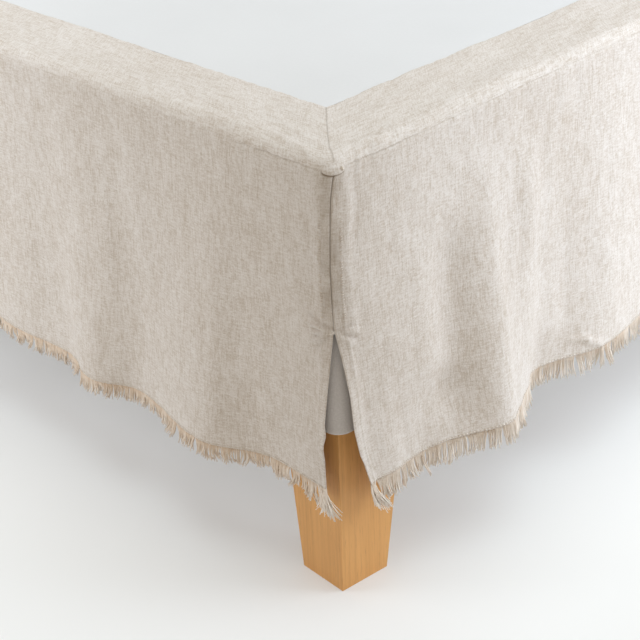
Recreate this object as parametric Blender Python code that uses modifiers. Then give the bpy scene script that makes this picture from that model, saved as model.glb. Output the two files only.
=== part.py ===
"""Linen bed skirt with a fringed hem, lying and hanging on a plain bed base on four legs.

The skirt is cut as the sewn one is: a flat cotton deck, three linen border strips with
mitred foot corners, and three drops that hang from the strips' outer seam. The drops of
the foot corners are sewn together from the seam down to a tack and hang free below it.
Their lower edge is fringed. The head end has no drop.

Units are metres, +Z is up, +X is the right side and -Y is the foot of the bed. The origin
is on the floor, under the middle of the whole object.
"""

import math
from dataclasses import dataclass

import bmesh
import bpy
from mathutils import Vector

# Driving dimensions of the skirt
BED_WIDTH = 1.400  # between the outer faces of the side drops, at the seam
BED_LENGTH = 1.900  # from the foot drop's outer face to the head end
FOOT_Y = -0.940  # outer face of the foot drop at the seam
TOP_Z = 0.3786  # upper face of the border strips
SEAM_Z = 0.3708  # seam between border strip and drop
TACK_Z = 0.243  # where the sewn corner ends and the slit begins
HEM_Z = 0.105  # stitch line above the fringe, where the cloth hangs straight
BORDER_WIDTH = 0.0733  # of a border strip, seen from above
CORNER_RADIUS = 0.018  # of the skirt's foot corners, seen from above
EDGE_RADIUS = 0.012  # of the linen where it turns over the upper edge

# Cloth, and what it leaves free
LINEN = 0.0015
COTTON = 0.0012
GAP = 0.0003  # between pieces that touch or are sewn together
CORNER_GAP = 0.0007  # between the outer faces that meet at a foot corner
SEAM_GAP = 0.0009  # between the outer faces of a strip and its drop
FRINGE_GAP = 0.0006  # between a hem and its fringe
CLEARANCE = 0.002  # between hanging cloth and the base's sides
HEAD_HEM_INSET = 0.013  # from the head end to the cloth's hemmed edges

# Fringe
LOCK_PITCH = 0.020
LOCK_ROOT_SHARE = 0.80  # of the pitch, the rest is the gap to the next lock
LOCK_TIP_SHARE = 0.46
BACKING = 0.0035  # height of the strip that the locks grow from
LOCK_LENGTH = 0.0125
LOCK_UNEVEN = 0.0022
TAIL_LENGTH = 0.0200  # of the corner lock beside a slit
TAIL_SWING = 0.35  # in pitches, towards the slit

# Plain bed base
LEG_HEIGHT = 0.150
LEG_TOP = 0.068
LEG_FOOT = 0.048
LEG_INSET_TOP = 0.0115  # from the skirt's outer line to the leg's outer faces
LEG_INSET_FOOT = 0.0125
LEG_CHAMFER = 0.0012
BASE_TOP_RADIUS = 0.010
BASE_BOTTOM_RADIUS = 0.004

# Mesh steps
COLUMN_STEP = 0.020
ARC_STEPS = 6
EDGE_STEPS = 4
DROP_LEVELS = (0.3666, 0.308, TACK_Z, 0.196, 0.150, HEM_Z)  # heights of its mesh rows

DROP = SEAM_Z - HEM_Z
HEAD_Y = FOOT_Y + BED_LENGTH
SIDE_X = BED_WIDTH / 2
BASE_TOP = TOP_Z - LINEN - GAP
BASE_BOTTOM = LEG_HEIGHT + GAP
BASE_INSET = LINEN + CLEARANCE
UNDER_BASE = (SEAM_Z - BASE_BOTTOM) / DROP  # share of the drop that hangs beside the base


@dataclass(frozen=True)
class HemPoint:
    """A crest or a trough of the hem, seen from above."""

    along: float  # from the foot corner
    out: float  # how far the hem stands out from the seam there
    lean: float = 0.0  # how much further along the fold starts at the seam


@dataclass(frozen=True)
class SlitEnd:
    """How a drop's free corner below the tack draws back from the corner seam."""

    pull: float  # at the hem
    power: float  # below 1 it opens at once, above 1 it opens towards the hem
    flare: float  # how far the free corner stands out at the hem


@dataclass(frozen=True)
class Side:
    """One straight side of the bed, followed with the bed's outside on the right hand."""

    name: str
    start: tuple
    direction: tuple
    length: float
    corner_at_start: bool
    corner_at_end: bool


SIDES = (
    Side("left", (-SIDE_X, HEAD_Y), (0, -1), BED_LENGTH, False, True),
    Side("foot", (-SIDE_X, FOOT_Y), (1, 0), BED_WIDTH, True, True),
    Side("right", (SIDE_X, FOOT_Y), (0, 1), BED_LENGTH, True, False),
)

# Folds of the two drops at the foot's right corner, from that corner on
RIGHT_FOLDS = (
    HemPoint(along=0.000, out=0.001),
    HemPoint(along=0.045, out=0.008),
    HemPoint(along=0.100, out=0.014, lean=0.010),
    HemPoint(along=0.160, out=0.032, lean=0.004),
    HemPoint(along=0.236, out=-0.006),
    HemPoint(along=0.318, out=0.014, lean=0.012),
    HemPoint(along=0.395, out=0.003),
)
FOOT_FOLDS = (
    HemPoint(along=0.000, out=0.001),
    HemPoint(along=0.070, out=-0.002),
    HemPoint(along=0.138, out=0.020, lean=-0.008),
    HemPoint(along=0.237, out=0.000),
    HemPoint(along=0.278, out=0.015, lean=0.010),
    HemPoint(along=0.334, out=0.000),
    HemPoint(along=0.400, out=0.004, lean=0.010),
    HemPoint(along=0.452, out=-0.001),
)
LEFT_FOLDS = (
    HemPoint(along=0.000, out=0.001),
    HemPoint(along=0.060, out=0.004),
    HemPoint(along=0.128, out=0.022, lean=0.008),
)

# Rule for the folds further along: spacing and height of each, and how they vary
FOLD_SPACING = 0.066
FOLD_SPACING_CHANGE = 0.017
CREST_OUT = 0.017
CREST_CHANGE = 0.008
TROUGH_OUT = 0.000
TROUGH_CHANGE = 0.004
FOLD_PHASE = {"left": 0.7, "foot": 2.9, "right": 4.4}
FADE_POWER = 1.35  # how quickly a fold fades from the hem up to the seam

SLITS = {
    ("foot", "end"): SlitEnd(pull=0.0125, power=0.75, flare=0.001),
    ("right", "start"): SlitEnd(pull=0.0190, power=0.95, flare=0.006),
    ("foot", "start"): SlitEnd(pull=0.015, power=0.90, flare=0.005),
    ("left", "end"): SlitEnd(pull=0.018, power=0.80, flare=0.004),
}
PULL_REACH = 0.150  # how far along a drop the pull of a slit is felt

COLOURS = {
    "linen": ((0.66, 0.61, 0.54, 1.0), 0.92),
    "fringe": ((0.62, 0.53, 0.42, 1.0), 0.95),
    "cotton": ((0.86, 0.88, 0.88, 1.0), 0.85),
    "base_cloth": ((0.60, 0.58, 0.57, 1.0), 0.90),
    "beech": ((0.60, 0.36, 0.16, 1.0), 0.45),
}


def clear_scene():
    """Removes the objects that a new file starts with."""
    for obj in list(bpy.data.objects):
        bpy.data.objects.remove(obj, do_unlink=True)


def material(name):
    """Principled material with the part's colour and roughness."""
    made = bpy.data.materials.get(name)
    if made is None:
        colour, roughness = COLOURS[name]
        made = bpy.data.materials.new(name)
        made.use_nodes = True
        shader = made.node_tree.nodes["Principled BSDF"]
        shader.inputs["Base Color"].default_value = colour
        shader.inputs["Roughness"].default_value = roughness
        shader.inputs["Metallic"].default_value = 0.0
    return made


def add_object(name, shape, collection, material_name):
    """Object of that name from a bmesh, with its material."""
    mesh = bpy.data.meshes.new(name)
    shape.to_mesh(mesh)
    shape.free()
    obj = bpy.data.objects.new(name, mesh)
    collection.objects.link(obj)
    obj.data.materials.append(material(material_name))
    return obj


def add_thickness(obj, thickness):
    """Gives an open surface its cloth thickness, on the inner side."""
    shell = obj.modifiers.new("cloth_thickness", "SOLIDIFY")
    shell.thickness = thickness
    shell.offset = -1.0
    shell.use_even_offset = False


def shade_round(obj):
    """Smooth shading, in which the large faces count most."""
    obj.data.shade_smooth()
    obj.modifiers.new("even_shading", "WEIGHTED_NORMAL")


def smooth_share(value):
    """Soft step from 0 to 1."""
    value = min(max(value, 0.0), 1.0)
    return value * value * (3.0 - 2.0 * value)


def folds_of(side):
    """The whole row of crests and troughs of a side, seen rows first, the rest by rule."""
    seen = {"left": LEFT_FOLDS, "foot": FOOT_FOLDS, "right": RIGHT_FOLDS}[side.name]
    rows = list(seen)
    phase = FOLD_PHASE[side.name]
    step = 0
    crest = rows[-1].out < rows[-2].out
    while rows[-1].along < side.length - FOLD_SPACING:
        spacing = FOLD_SPACING + FOLD_SPACING_CHANGE * math.sin(2.3 * step + phase)
        if crest:
            out = CREST_OUT + CREST_CHANGE * math.sin(1.7 * step + phase)
        else:
            out = TROUGH_OUT + TROUGH_CHANGE * math.sin(1.1 * step + phase)
        lean = 0.010 * math.sin(3.1 * step + phase)
        rows.append(HemPoint(along=rows[-1].along + spacing, out=out, lean=lean))
        crest = not crest
        step += 1
    return rows


def hem_out(rows, along, height_share):
    """How far the hem's line stands out at a place, read at a height above the hem."""
    places = [row.along + row.lean * height_share for row in rows]
    if along <= places[0]:
        return rows[0].out
    for before, after, left, right in zip(rows, rows[1:], places, places[1:]):
        if along <= right:
            share = (along - left) / (right - left)
            blend = 0.5 - 0.5 * math.cos(math.pi * share)
            return before.out + (after.out - before.out) * blend
    return rows[-1].out


def stands_out(rows, along, down):
    """How far the cloth stands out at a share of the drop: crests grow from the seam,
    troughs swing in only below the base."""
    out = hem_out(rows, along, 1.0 - min(down, 1.0))
    if out >= 0.0:
        return out * max(down, 0.0) ** FADE_POWER
    return out * smooth_share((down - UNDER_BASE) / (1.0 - UNDER_BASE))


def edge_inset(z):
    """How far the linen's outer face lies inside the seam's plane on the rounded edge."""
    above = z - (TOP_Z - EDGE_RADIUS)
    if above <= 0.0:
        return 0.0
    return EDGE_RADIUS - math.sqrt(max(EDGE_RADIUS**2 - above**2, 0.0))


def place_on(side, share, inset):
    """Point and outward direction, seen from above, at a share of the line that runs round
    a side at an inset from its outer face. The line ends at the middle of each corner."""
    radius = max(CORNER_RADIUS - inset, 0.0)
    turn = max(inset, CORNER_RADIUS)
    arc = radius * math.pi / 4
    cut = CORNER_GAP / 2
    arc_run = max(arc - cut, 0.0)
    short = max(cut - arc, 0.0) * math.sqrt(2.0)
    first = turn + short if side.corner_at_start else HEAD_HEM_INSET
    last = side.length - (turn + short if side.corner_at_end else HEAD_HEM_INSET)
    start_arc = arc_run if side.corner_at_start else 0.0
    end_arc = arc_run if side.corner_at_end else 0.0
    way = share * (start_arc + last - first + end_arc)
    if way < start_arc:
        angle = -(start_arc - way) / radius
        u = CORNER_RADIUS + radius * math.sin(angle)
        inward = CORNER_RADIUS - radius * math.cos(angle)
    elif way <= start_arc + last - first:
        angle = 0.0
        u = first + way - start_arc
        inward = inset
    else:
        angle = (way - start_arc - last + first) / radius
        u = side.length - CORNER_RADIUS + radius * math.sin(angle)
        inward = CORNER_RADIUS - radius * math.cos(angle)
    forward = Vector((*side.direction, 0.0))
    outward = Vector((side.direction[1], -side.direction[0], 0.0))
    point = Vector((*side.start, 0.0)) + forward * u - outward * inward
    return point, outward * math.cos(angle) + forward * math.sin(angle)


def outer_length(side):
    """Length of a side's outer line, with half of each corner's arc."""
    corners = int(side.corner_at_start) + int(side.corner_at_end)
    plain = 2 - corners
    arc = CORNER_RADIUS * math.pi / 4
    straight = side.length - corners * CORNER_RADIUS - plain * HEAD_HEM_INSET
    return straight + corners * arc


def column_shares(side, step):
    """Shares of a side's length for its mesh columns, close together on the corners."""
    total = outer_length(side)
    arc = CORNER_RADIUS * math.pi / 4 / total
    first = arc if side.corner_at_start else 0.0
    last = 1.0 - arc if side.corner_at_end else 1.0
    shares = []
    if side.corner_at_start:
        shares += [arc * i / ARC_STEPS for i in range(ARC_STEPS)]
    count = max(1, round((last - first) * total / step))
    shares += [first + (last - first) * i / count for i in range(count + 1)]
    if side.corner_at_end:
        shares += [last + arc * (i + 1) / ARC_STEPS for i in range(ARC_STEPS)]
    return shares


def slit_shift(side, way, total, down):
    """How far a point of a drop is drawn along its side, and pushed out, beside a slit."""
    tack = (SEAM_Z - TACK_Z) / DROP
    below = max(0.0, (down - tack) / (1.0 - tack))
    shift = 0.0
    flare = 0.0
    for end, distance, sign in (("start", way, 1.0), ("end", total - way, -1.0)):
        slit = SLITS.get((side.name, end))
        if slit is None or distance > PULL_REACH or below == 0.0:
            continue
        fade = (1.0 - distance / PULL_REACH) ** 2
        shift += sign * slit.pull * below**slit.power * fade
        flare += slit.flare * below * fade**3
    return shift, flare


def from_foot_corner(side, way, total):
    """Distance from the foot corner that the fold rows of a side are counted from."""
    return way if side.name == "right" else total - way


def drop_point(side, rows, share, down):
    """Point on the outer face of a drop. Down is a share of the drop: 0 at the seam, 1 at
    the hem, and more on the fringe."""
    total = outer_length(side)
    way = share * total
    shift, flare = slit_shift(side, way, total, down)
    out = stands_out(rows, from_foot_corner(side, way, total), down) + flare
    moved = min(max((way + shift) / total, 0.0), 1.0)
    hanging = down * DROP
    z = SEAM_Z - math.sqrt(max(hanging**2 - out**2, 0.0))
    point, outward = place_on(side, moved, 0.0)
    return point + outward * (out - edge_inset(z)) + Vector((0.0, 0.0, z))


def grid(columns, rows):
    """Flat grid whose vertices carry their column and row, row 0 at the lower edge."""
    mesh = bmesh.new()
    bmesh.ops.create_grid(mesh, x_segments=columns, y_segments=rows, size=1.0)
    table = {}
    for vertex in mesh.verts:
        column = round((vertex.co.x + 1.0) / 2.0 * columns)
        row = round((vertex.co.y + 1.0) / 2.0 * rows)
        table[column, row] = vertex
    return mesh, table


def build_drop(side, collection):
    """Hanging linen of one side, with its folds and its free corners below the tack."""
    rows = folds_of(side)
    shares = column_shares(side, COLUMN_STEP)
    levels = (SEAM_Z - SEAM_GAP / 2, *DROP_LEVELS)
    downs = [(SEAM_Z - level) / DROP for level in reversed(levels)]
    mesh, table = grid(len(shares) - 1, len(downs) - 1)
    for (column, row), vertex in table.items():
        vertex.co = drop_point(side, rows, shares[column], downs[row])
    drop = add_object(f"drop_{side.name}", mesh, collection, "linen")
    add_thickness(drop, LINEN)
    shade_round(drop)


def lock_length(side, index, count):
    """Length of one lock of the fringe below its backing, longest beside a slit."""
    first = index == 0 and side.corner_at_start
    last = index == count - 1 and side.corner_at_end
    if first or last:
        return TAIL_LENGTH
    return LOCK_LENGTH + LOCK_UNEVEN * math.sin(2.1 * index + FOLD_PHASE[side.name])


def build_fringe(side, collection):
    """Comb of locks below a drop's hem: a narrow backing with the locks fused to it."""
    rows = folds_of(side)
    count = round(outer_length(side) / LOCK_PITCH)
    pitch = 1.0 / (count - (1.0 - LOCK_ROOT_SHARE))
    root = pitch * LOCK_ROOT_SHARE
    narrowing = pitch * (LOCK_ROOT_SHARE - LOCK_TIP_SHARE) / 2
    mesh, table = grid(2 * count - 1, 2)
    gaps = gap_faces(mesh, 2 * count - 1)
    bmesh.ops.delete(mesh, geom=gaps, context="FACES")
    for (column, row), vertex in table.items():
        lock, right_edge = divmod(column, 2)
        share = lock * pitch + root * right_edge
        below = FRINGE_GAP
        if row < 2:
            below += BACKING
        if row == 0:
            below += lock_length(side, lock, count)
            share += narrowing * (1 - 2 * right_edge)
            share += tail_swing(side, lock, count) * pitch
        vertex.co = drop_point(side, rows, share, 1.0 + below / DROP)
    fringe = add_object(f"fringe_{side.name}", mesh, collection, "fringe")
    add_thickness(fringe, LINEN)


def gap_faces(mesh, columns):
    """Faces of a flat two-row grid that lie between the locks: every second one below."""
    gaps = []
    for face in mesh.faces:
        middle = face.calc_center_median()
        column = int((middle.x + 1.0) / 2.0 * columns)
        if column % 2 and middle.y < 0.0:
            gaps.append(face)
    return gaps


def tail_swing(side, index, count):
    """How many pitches the tip of the lock beside a slit swings towards the slit."""
    if index == 0 and side.corner_at_start:
        return -TAIL_SWING
    if index == count - 1 and side.corner_at_end:
        return TAIL_SWING
    return 0.0


def build_border(side, collection):
    """Linen strip on top of the base: flat from the deck to the rounded edge, then down to
    the seam, with mitred foot corners."""
    seam_height = SEAM_Z + SEAM_GAP / 2 - (TOP_Z - EDGE_RADIUS)
    seam_angle = math.asin(seam_height / EDGE_RADIUS)
    section = []
    for i in range(EDGE_STEPS + 1):
        angle = seam_angle + (math.pi / 2 - seam_angle) * i / EDGE_STEPS
        inset = EDGE_RADIUS * (1.0 - math.cos(angle))
        section.append((inset, TOP_Z - EDGE_RADIUS + EDGE_RADIUS * math.sin(angle)))
    section += [(CORNER_RADIUS, TOP_Z), (BORDER_WIDTH, TOP_Z)]
    shares = column_shares(side, side.length / 3)
    mesh, table = grid(len(shares) - 1, len(section) - 1)
    for (column, row), vertex in table.items():
        inset, z = section[row]
        point, _ = place_on(side, shares[column], inset)
        vertex.co = point + Vector((0.0, 0.0, z))
    border = add_object(f"border_{side.name}", mesh, collection, "linen")
    add_thickness(border, LINEN)
    shade_round(border)


def build_deck(collection):
    """Cotton panel that lies flat on the base inside the border strips."""
    mesh, table = grid(1, 1)
    inner_x = SIDE_X - BORDER_WIDTH - GAP
    foot_edge = FOOT_Y + BORDER_WIDTH + GAP
    head_edge = HEAD_Y - HEAD_HEM_INSET
    z = BASE_TOP + GAP + COTTON
    for (column, row), vertex in table.items():
        vertex.co = (inner_x * (2 * column - 1), (foot_edge, head_edge)[row], z)
    deck = add_object("deck", mesh, collection, "cotton")
    add_thickness(deck, COTTON)


def build_base(collection):
    """Upholstered bed base: a box with rounded upright corners and rounded edges."""
    half_x = SIDE_X - BASE_INSET
    foot = FOOT_Y + BASE_INSET
    head = HEAD_Y - BASE_INSET
    mesh = bmesh.new()
    bmesh.ops.create_cube(mesh, size=1.0)
    for vertex in mesh.verts:
        x = half_x * 2.0 * vertex.co.x
        y = (foot + head) / 2 + (head - foot) * vertex.co.y
        z = (BASE_BOTTOM + BASE_TOP) / 2 + (BASE_TOP - BASE_BOTTOM) * vertex.co.z
        vertex.co = (x, y, z)
    upright = [e for e in mesh.edges if abs(e.verts[0].co.z - e.verts[1].co.z) > 0.1]
    corner = CORNER_RADIUS - BASE_INSET
    bmesh.ops.bevel(mesh, geom=upright, offset=corner, segments=4, affect="EDGES")
    rims = (
        (BASE_TOP, BASE_TOP_RADIUS, 4),
        (BASE_BOTTOM, BASE_BOTTOM_RADIUS, 2),
    )
    for level, radius, segments in rims:
        rim = [e for e in mesh.edges if all(abs(v.co.z - level) < 1e-5 for v in e.verts)]
        bmesh.ops.bevel(mesh, geom=rim, offset=radius, segments=segments, affect="EDGES")
    base = add_object("bed_base", mesh, collection, "base_cloth")
    shade_round(base)


def build_leg(name, side_sign, end_sign, collection):
    """Square wooden leg that tapers on its two inner faces."""
    mesh = bmesh.new()
    bmesh.ops.create_cube(mesh, size=1.0)
    end_y = HEAD_Y if end_sign > 0 else FOOT_Y
    for vertex in mesh.verts:
        upper = vertex.co.z > 0
        width = LEG_TOP if upper else LEG_FOOT
        inset = LEG_INSET_TOP if upper else LEG_INSET_FOOT
        outer_x = vertex.co.x * side_sign > 0
        outer_y = vertex.co.y * end_sign > 0
        x = SIDE_X - inset - (0.0 if outer_x else width)
        y_inset = inset + (0.0 if outer_y else width)
        y = end_y - end_sign * y_inset
        vertex.co = (side_sign * x, y, LEG_HEIGHT if upper else 0.0)
    bmesh.ops.bevel(
        mesh,
        geom=[e for e in mesh.edges if abs(e.verts[0].co.z - e.verts[1].co.z) > 0.1],
        offset=LEG_CHAMFER,
        segments=1,
        affect="EDGES",
    )
    add_object(name, mesh, collection, "beech")


def main():
    """Builds the skirt's pieces, then the base and legs that carry it."""
    clear_scene()
    collection = bpy.data.collections.new("bed_skirt_on_bed_base")
    bpy.context.scene.collection.children.link(collection)
    build_deck(collection)
    for side in SIDES:
        build_border(side, collection)
        build_drop(side, collection)
        build_fringe(side, collection)
    build_base(collection)
    build_leg("leg_foot_left", -1, -1, collection)
    build_leg("leg_foot_right", 1, -1, collection)
    build_leg("leg_head_left", -1, 1, collection)
    build_leg("leg_head_right", 1, 1, collection)


main()
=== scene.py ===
"""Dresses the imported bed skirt: washed linen, white cotton, fringe, stitching, base and legs.

The linen hangs on the folds of its solids and adds what is finer than they are: puckers
along the seams, side hems beside the slits, soft creases, the corner lip, the bar tacks and
the loose yarns of the fringe.
"""

from __future__ import annotations

import logging
import math
from dataclasses import dataclass, fields
from enum import Enum
from typing import Any, Callable, Sequence, TypeVar

import bmesh
import bpy
import numpy as np
from mathutils import Matrix, Vector

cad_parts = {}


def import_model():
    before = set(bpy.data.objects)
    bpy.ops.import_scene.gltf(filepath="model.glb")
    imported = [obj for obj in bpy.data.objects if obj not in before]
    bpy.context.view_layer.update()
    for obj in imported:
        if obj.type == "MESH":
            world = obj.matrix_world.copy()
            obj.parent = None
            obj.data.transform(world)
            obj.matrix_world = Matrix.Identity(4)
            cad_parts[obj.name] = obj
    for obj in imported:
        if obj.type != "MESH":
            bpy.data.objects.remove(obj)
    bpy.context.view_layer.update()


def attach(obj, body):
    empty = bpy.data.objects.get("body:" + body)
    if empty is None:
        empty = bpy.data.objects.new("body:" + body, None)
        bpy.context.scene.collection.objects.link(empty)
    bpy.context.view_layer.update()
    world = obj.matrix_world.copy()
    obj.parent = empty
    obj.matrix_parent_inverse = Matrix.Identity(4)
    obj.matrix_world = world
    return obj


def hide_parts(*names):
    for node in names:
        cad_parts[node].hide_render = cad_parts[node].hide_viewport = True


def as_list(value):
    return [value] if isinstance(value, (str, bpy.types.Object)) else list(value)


LOG = logging.getLogger("bed_skirt")
Array = np.ndarray
Record = TypeVar("Record")
UP = np.array([0.0, 0.0, 1.0])
FAR = 9.0  # stands for a distance past any on the part


@dataclass(frozen=True)
class SkirtSizes:
    """Sizes in metres, as the solids have them, but for the tack, which sits a little higher."""

    half_width: float = 0.700
    foot_y: float = -0.940
    head_y: float = 0.960
    top_z: float = 0.3786
    seam_z: float = 0.3708
    tack_z: float = 0.2455
    hem_z: float = 0.105
    border_width: float = 0.0733
    corner_radius: float = 0.018
    edge_radius: float = 0.012
    head_inset: float = 0.013
    base_top: float = 0.3768
    base_bottom: float = 0.1503
    linen: float = 0.0011
    cotton: float = 0.0008
    seam_gap: float = 0.0002

    @property
    def drop(self) -> float:
        """Height of the drops, from the seam to the stitch line above the fringe."""
        return self.seam_z - self.hem_z

    @property
    def beside_base(self) -> float:
        """Share of the drop that hangs beside the base."""
        return (self.seam_z - self.base_bottom) / self.drop


SIZES = SkirtSizes()


def smooth(value: Array) -> Array:
    """Soft step from 0 to 1."""
    value = np.clip(value, 0.0, 1.0)
    return value * value * (3.0 - 2.0 * value)


def bell(distance: Array, width: float) -> Array:
    """Soft bump that is 1 at no distance and fades over a width."""
    return np.exp(-((distance / width) ** 2))


def even(places: Array, value: float) -> Array:
    """One value at each of some places."""
    return np.full_like(places, value)


def unit(arrows: Array) -> Array:
    """Rows of arrows, each made 1 long."""
    return arrows / np.maximum(np.linalg.norm(arrows, axis=-1, keepdims=True), 1e-12)


def table(kind: Callable[..., Record], *rows: tuple) -> tuple[Record, ...]:
    """Records of one kind, from the rows of a table."""
    return tuple(kind(*row) for row in rows)


class Corner(Enum):
    """End of a side: a foot corner of the skirt, or the hemmed head end."""

    FOOT = "foot"
    HEAD = "head"


@dataclass(frozen=True)
class HemPoint:
    """A crest or a trough of the hem, seen from above.

    Args:
        along: Distance from the foot corner.
        out: How far the hem stands out from the seam there.
        lean: How much further along the fold starts at the seam.
    """

    along: float
    out: float
    lean: float = 0.0


@dataclass(frozen=True)
class SlitRow:
    """Where a drop's free edge lies at one height.

    Args:
        z: Height above the floor.
        pull: How far the edge is drawn back from the corner seam.
        out: How far the edge stands out.
    """

    z: float
    pull: float
    out: float


@dataclass(frozen=True)
class Crease:
    """A soft ridge or trough laid on the cloth, straight from end to end.

    Args:
        along: Distance of its two ends from the foot corner.
        down: Distance of its two ends from the seam.
        width: How far it spreads to each side.
        height: How far it stands out, negative for a trough.
    """

    along: tuple[float, float]
    down: tuple[float, float]
    width: float
    height: float

    def at(self, along: Array, down: Array) -> Array:
        """Its relief at places on the cloth."""
        run = self.along[1] - self.along[0]
        fall = self.down[1] - self.down[0]
        length = math.hypot(run, fall)
        share = ((along - self.along[0]) * run + (down - self.down[0]) * fall) / length**2
        aside = ((along - self.along[0]) * fall - (down - self.down[0]) * run) / length
        ends = smooth(share / 0.25) * smooth((1.0 - share) / 0.25)
        return self.height * ends * bell(aside, self.width)


# Measured crests and troughs: distance from the corner, how far out, lean.
RIGHT_FOLDS = table(
    HemPoint,
    (0.000, 0.001),
    (0.045, 0.008),
    (0.100, 0.014, 0.010),
    (0.160, 0.032, 0.004),
    (0.236, -0.006),
    (0.318, 0.014, 0.012),
    (0.395, 0.003),
)
FOOT_FOLDS = table(
    HemPoint,
    (0.000, 0.001),
    (0.070, -0.002),
    (0.138, 0.020, -0.008),
    (0.237, 0.000),
    (0.278, 0.015, 0.010),
    (0.334, 0.000),
    (0.400, 0.004, 0.010),
    (0.452, -0.001),
)
LEFT_FOLDS = table(
    HemPoint,
    (0.000, 0.001),
    (0.060, 0.004),
    (0.128, 0.022, 0.008),
)


@dataclass(frozen=True)
class FoldRule:
    """How the folds go on past those that were measured.

    Args:
        phase: Where the slow changes along the side start.
        spacing: Usual distance from a crest to a trough.
        spacing_change: How much that distance changes.
        crest: Usual height of a crest.
        crest_change: How much the crests change.
        trough_change: How much the troughs change.
        lean: Most that a fold leans.
    """

    phase: float
    spacing: float = 0.066
    spacing_change: float = 0.017
    crest: float = 0.017
    crest_change: float = 0.008
    trough_change: float = 0.004
    lean: float = 0.010

    def continue_to(self, seen: Sequence[HemPoint], length: float) -> list[HemPoint]:
        """Adds crests and troughs in turn until a side is full.

        Args:
            seen: The crests and troughs that are measured.
            length: Length of the side.

        Returns:
            The whole row.
        """
        rows = list(seen)
        step = 0
        crest = rows[-1].out < rows[-2].out
        while rows[-1].along < length - self.spacing:
            gap = self.spacing + self.spacing_change * math.sin(2.3 * step + self.phase)
            if crest:
                out = self.crest + self.crest_change * math.sin(1.7 * step + self.phase)
            else:
                out = self.trough_change * math.sin(1.1 * step + self.phase)
            lean = self.lean * math.sin(3.1 * step + self.phase)
            rows.append(HemPoint(rows[-1].along + gap, out, lean))
            crest = not crest
            step += 1
        return rows


# Free edges beside the slits: height, how far drawn back, how far out.
PLAIN_SLIT = table(
    SlitRow,
    (SIZES.tack_z, 0.0000, 0.0000),
    (0.200, 0.0060, 0.0010),
    (0.150, 0.0110, 0.0030),
    (SIZES.hem_z, 0.0160, 0.0045),
)
FOOT_SLIT = table(
    SlitRow,
    (SIZES.tack_z, 0.0000, 0.0000),
    (0.2275, 0.0022, 0.0003),
    (0.1975, 0.0057, 0.0006),
    (0.162, 0.0097, 0.0008),
    (0.154, 0.0088, 0.0009),
    (0.1415, 0.0118, 0.0010),
    (0.131, 0.0106, 0.0010),
    (0.1185, 0.0106, 0.0010),
    (SIZES.hem_z, 0.0102, 0.0012),
)
RIGHT_SLIT = table(
    SlitRow,
    (SIZES.tack_z, 0.0000, 0.0000),
    (0.2135, 0.0048, 0.0012),
    (0.187, 0.0079, 0.0025),
    (0.158, 0.0092, 0.0038),
    (0.135, 0.0122, 0.0050),
    (SIZES.hem_z, 0.0204, 0.0064),
)

# Creases: both ends along the side, both ends down from the seam, width, height.
RIGHT_CREASES = table(
    Crease,
    ((0.075, 0.062), (-0.030, 0.250), 0.034, 0.0024),
    ((0.120, 0.110), (0.070, 0.260), 0.021, -0.0062),
    ((0.104, 0.072), (0.190, 0.330), 0.026, -0.0052),
    ((0.162, 0.155), (0.020, 0.320), 0.014, 0.0022),
    ((0.180, 0.176), (0.080, 0.320), 0.010, -0.0018),
    ((0.214, 0.214), (0.030, 0.330), 0.014, 0.0060),
    ((0.060, 0.050), (0.110, 0.180), 0.012, 0.0010),
    ((0.300, 0.330), (0.120, 0.260), 0.014, 0.0008),
    ((0.269, 0.294), (0.2490, 0.2525), 0.0030, 0.0018),
    ((0.283, 0.310), (0.2505, 0.2670), 0.0030, 0.0022),
    ((0.014, 0.012), (0.004, 0.075), 0.0050, 0.0012),
    ((0.012, 0.014), (0.060, 0.150), 0.0060, 0.0007),
    ((0.022, 0.019), (0.012, 0.085), 0.0045, -0.0006),
    ((0.240, 0.252), (0.030, 0.150), 0.009, 0.0006),
    ((0.022, 0.058), (-0.013, -0.004), 0.0040, 0.0018),
    ((0.012, 0.060), (-0.030, -0.011), 0.0038, -0.0008),
    ((0.032, 0.052), (-0.028, -0.010), 0.0028, -0.0007),
    ((0.040, 0.060), (-0.024, -0.006), 0.0024, 0.0011),
    ((0.048, 0.066), (-0.022, -0.004), 0.0024, -0.0007),
    ((0.060, 0.078), (-0.020, -0.003), 0.0026, 0.0010),
    ((0.030, 0.150), (-0.040, -0.052), 0.0070, 0.0014),
    ((0.110, 0.220), (-0.050, -0.030), 0.0080, -0.0006),
)
FOOT_CREASES = table(
    Crease,
    ((0.098, 0.088), (-0.030, 0.250), 0.036, 0.0020),
    ((0.110, 0.128), (0.060, 0.280), 0.012, 0.0010),
    ((0.170, 0.178), (0.060, 0.230), 0.014, -0.0008),
    ((0.030, 0.050), (0.150, 0.270), 0.012, -0.0010),
    ((0.252, 0.246), (0.080, 0.290), 0.018, 0.0034),
    ((0.308, 0.296), (0.200, 0.278), 0.008, 0.0026),
    ((0.018, 0.020), (0.030, 0.120), 0.006, -0.0007),
    ((0.350, 0.360), (0.060, 0.220), 0.012, -0.0006),
    ((0.010, 0.075), (-0.010, -0.020), 0.0036, 0.0018),
    ((0.010, 0.090), (-0.016, -0.034), 0.0034, -0.0008),
    ((0.014, 0.070), (-0.024, -0.042), 0.0032, 0.0014),
    ((0.020, 0.066), (-0.036, -0.056), 0.0036, -0.0006),
    ((0.060, 0.130), (-0.016, -0.012), 0.0040, 0.0014),
    ((0.080, 0.190), (-0.030, -0.040), 0.0050, 0.0016),
    ((0.120, 0.260), (-0.052, -0.044), 0.0080, -0.0008),
    ((0.150, 0.300), (-0.022, -0.030), 0.0056, 0.0015),
)

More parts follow.
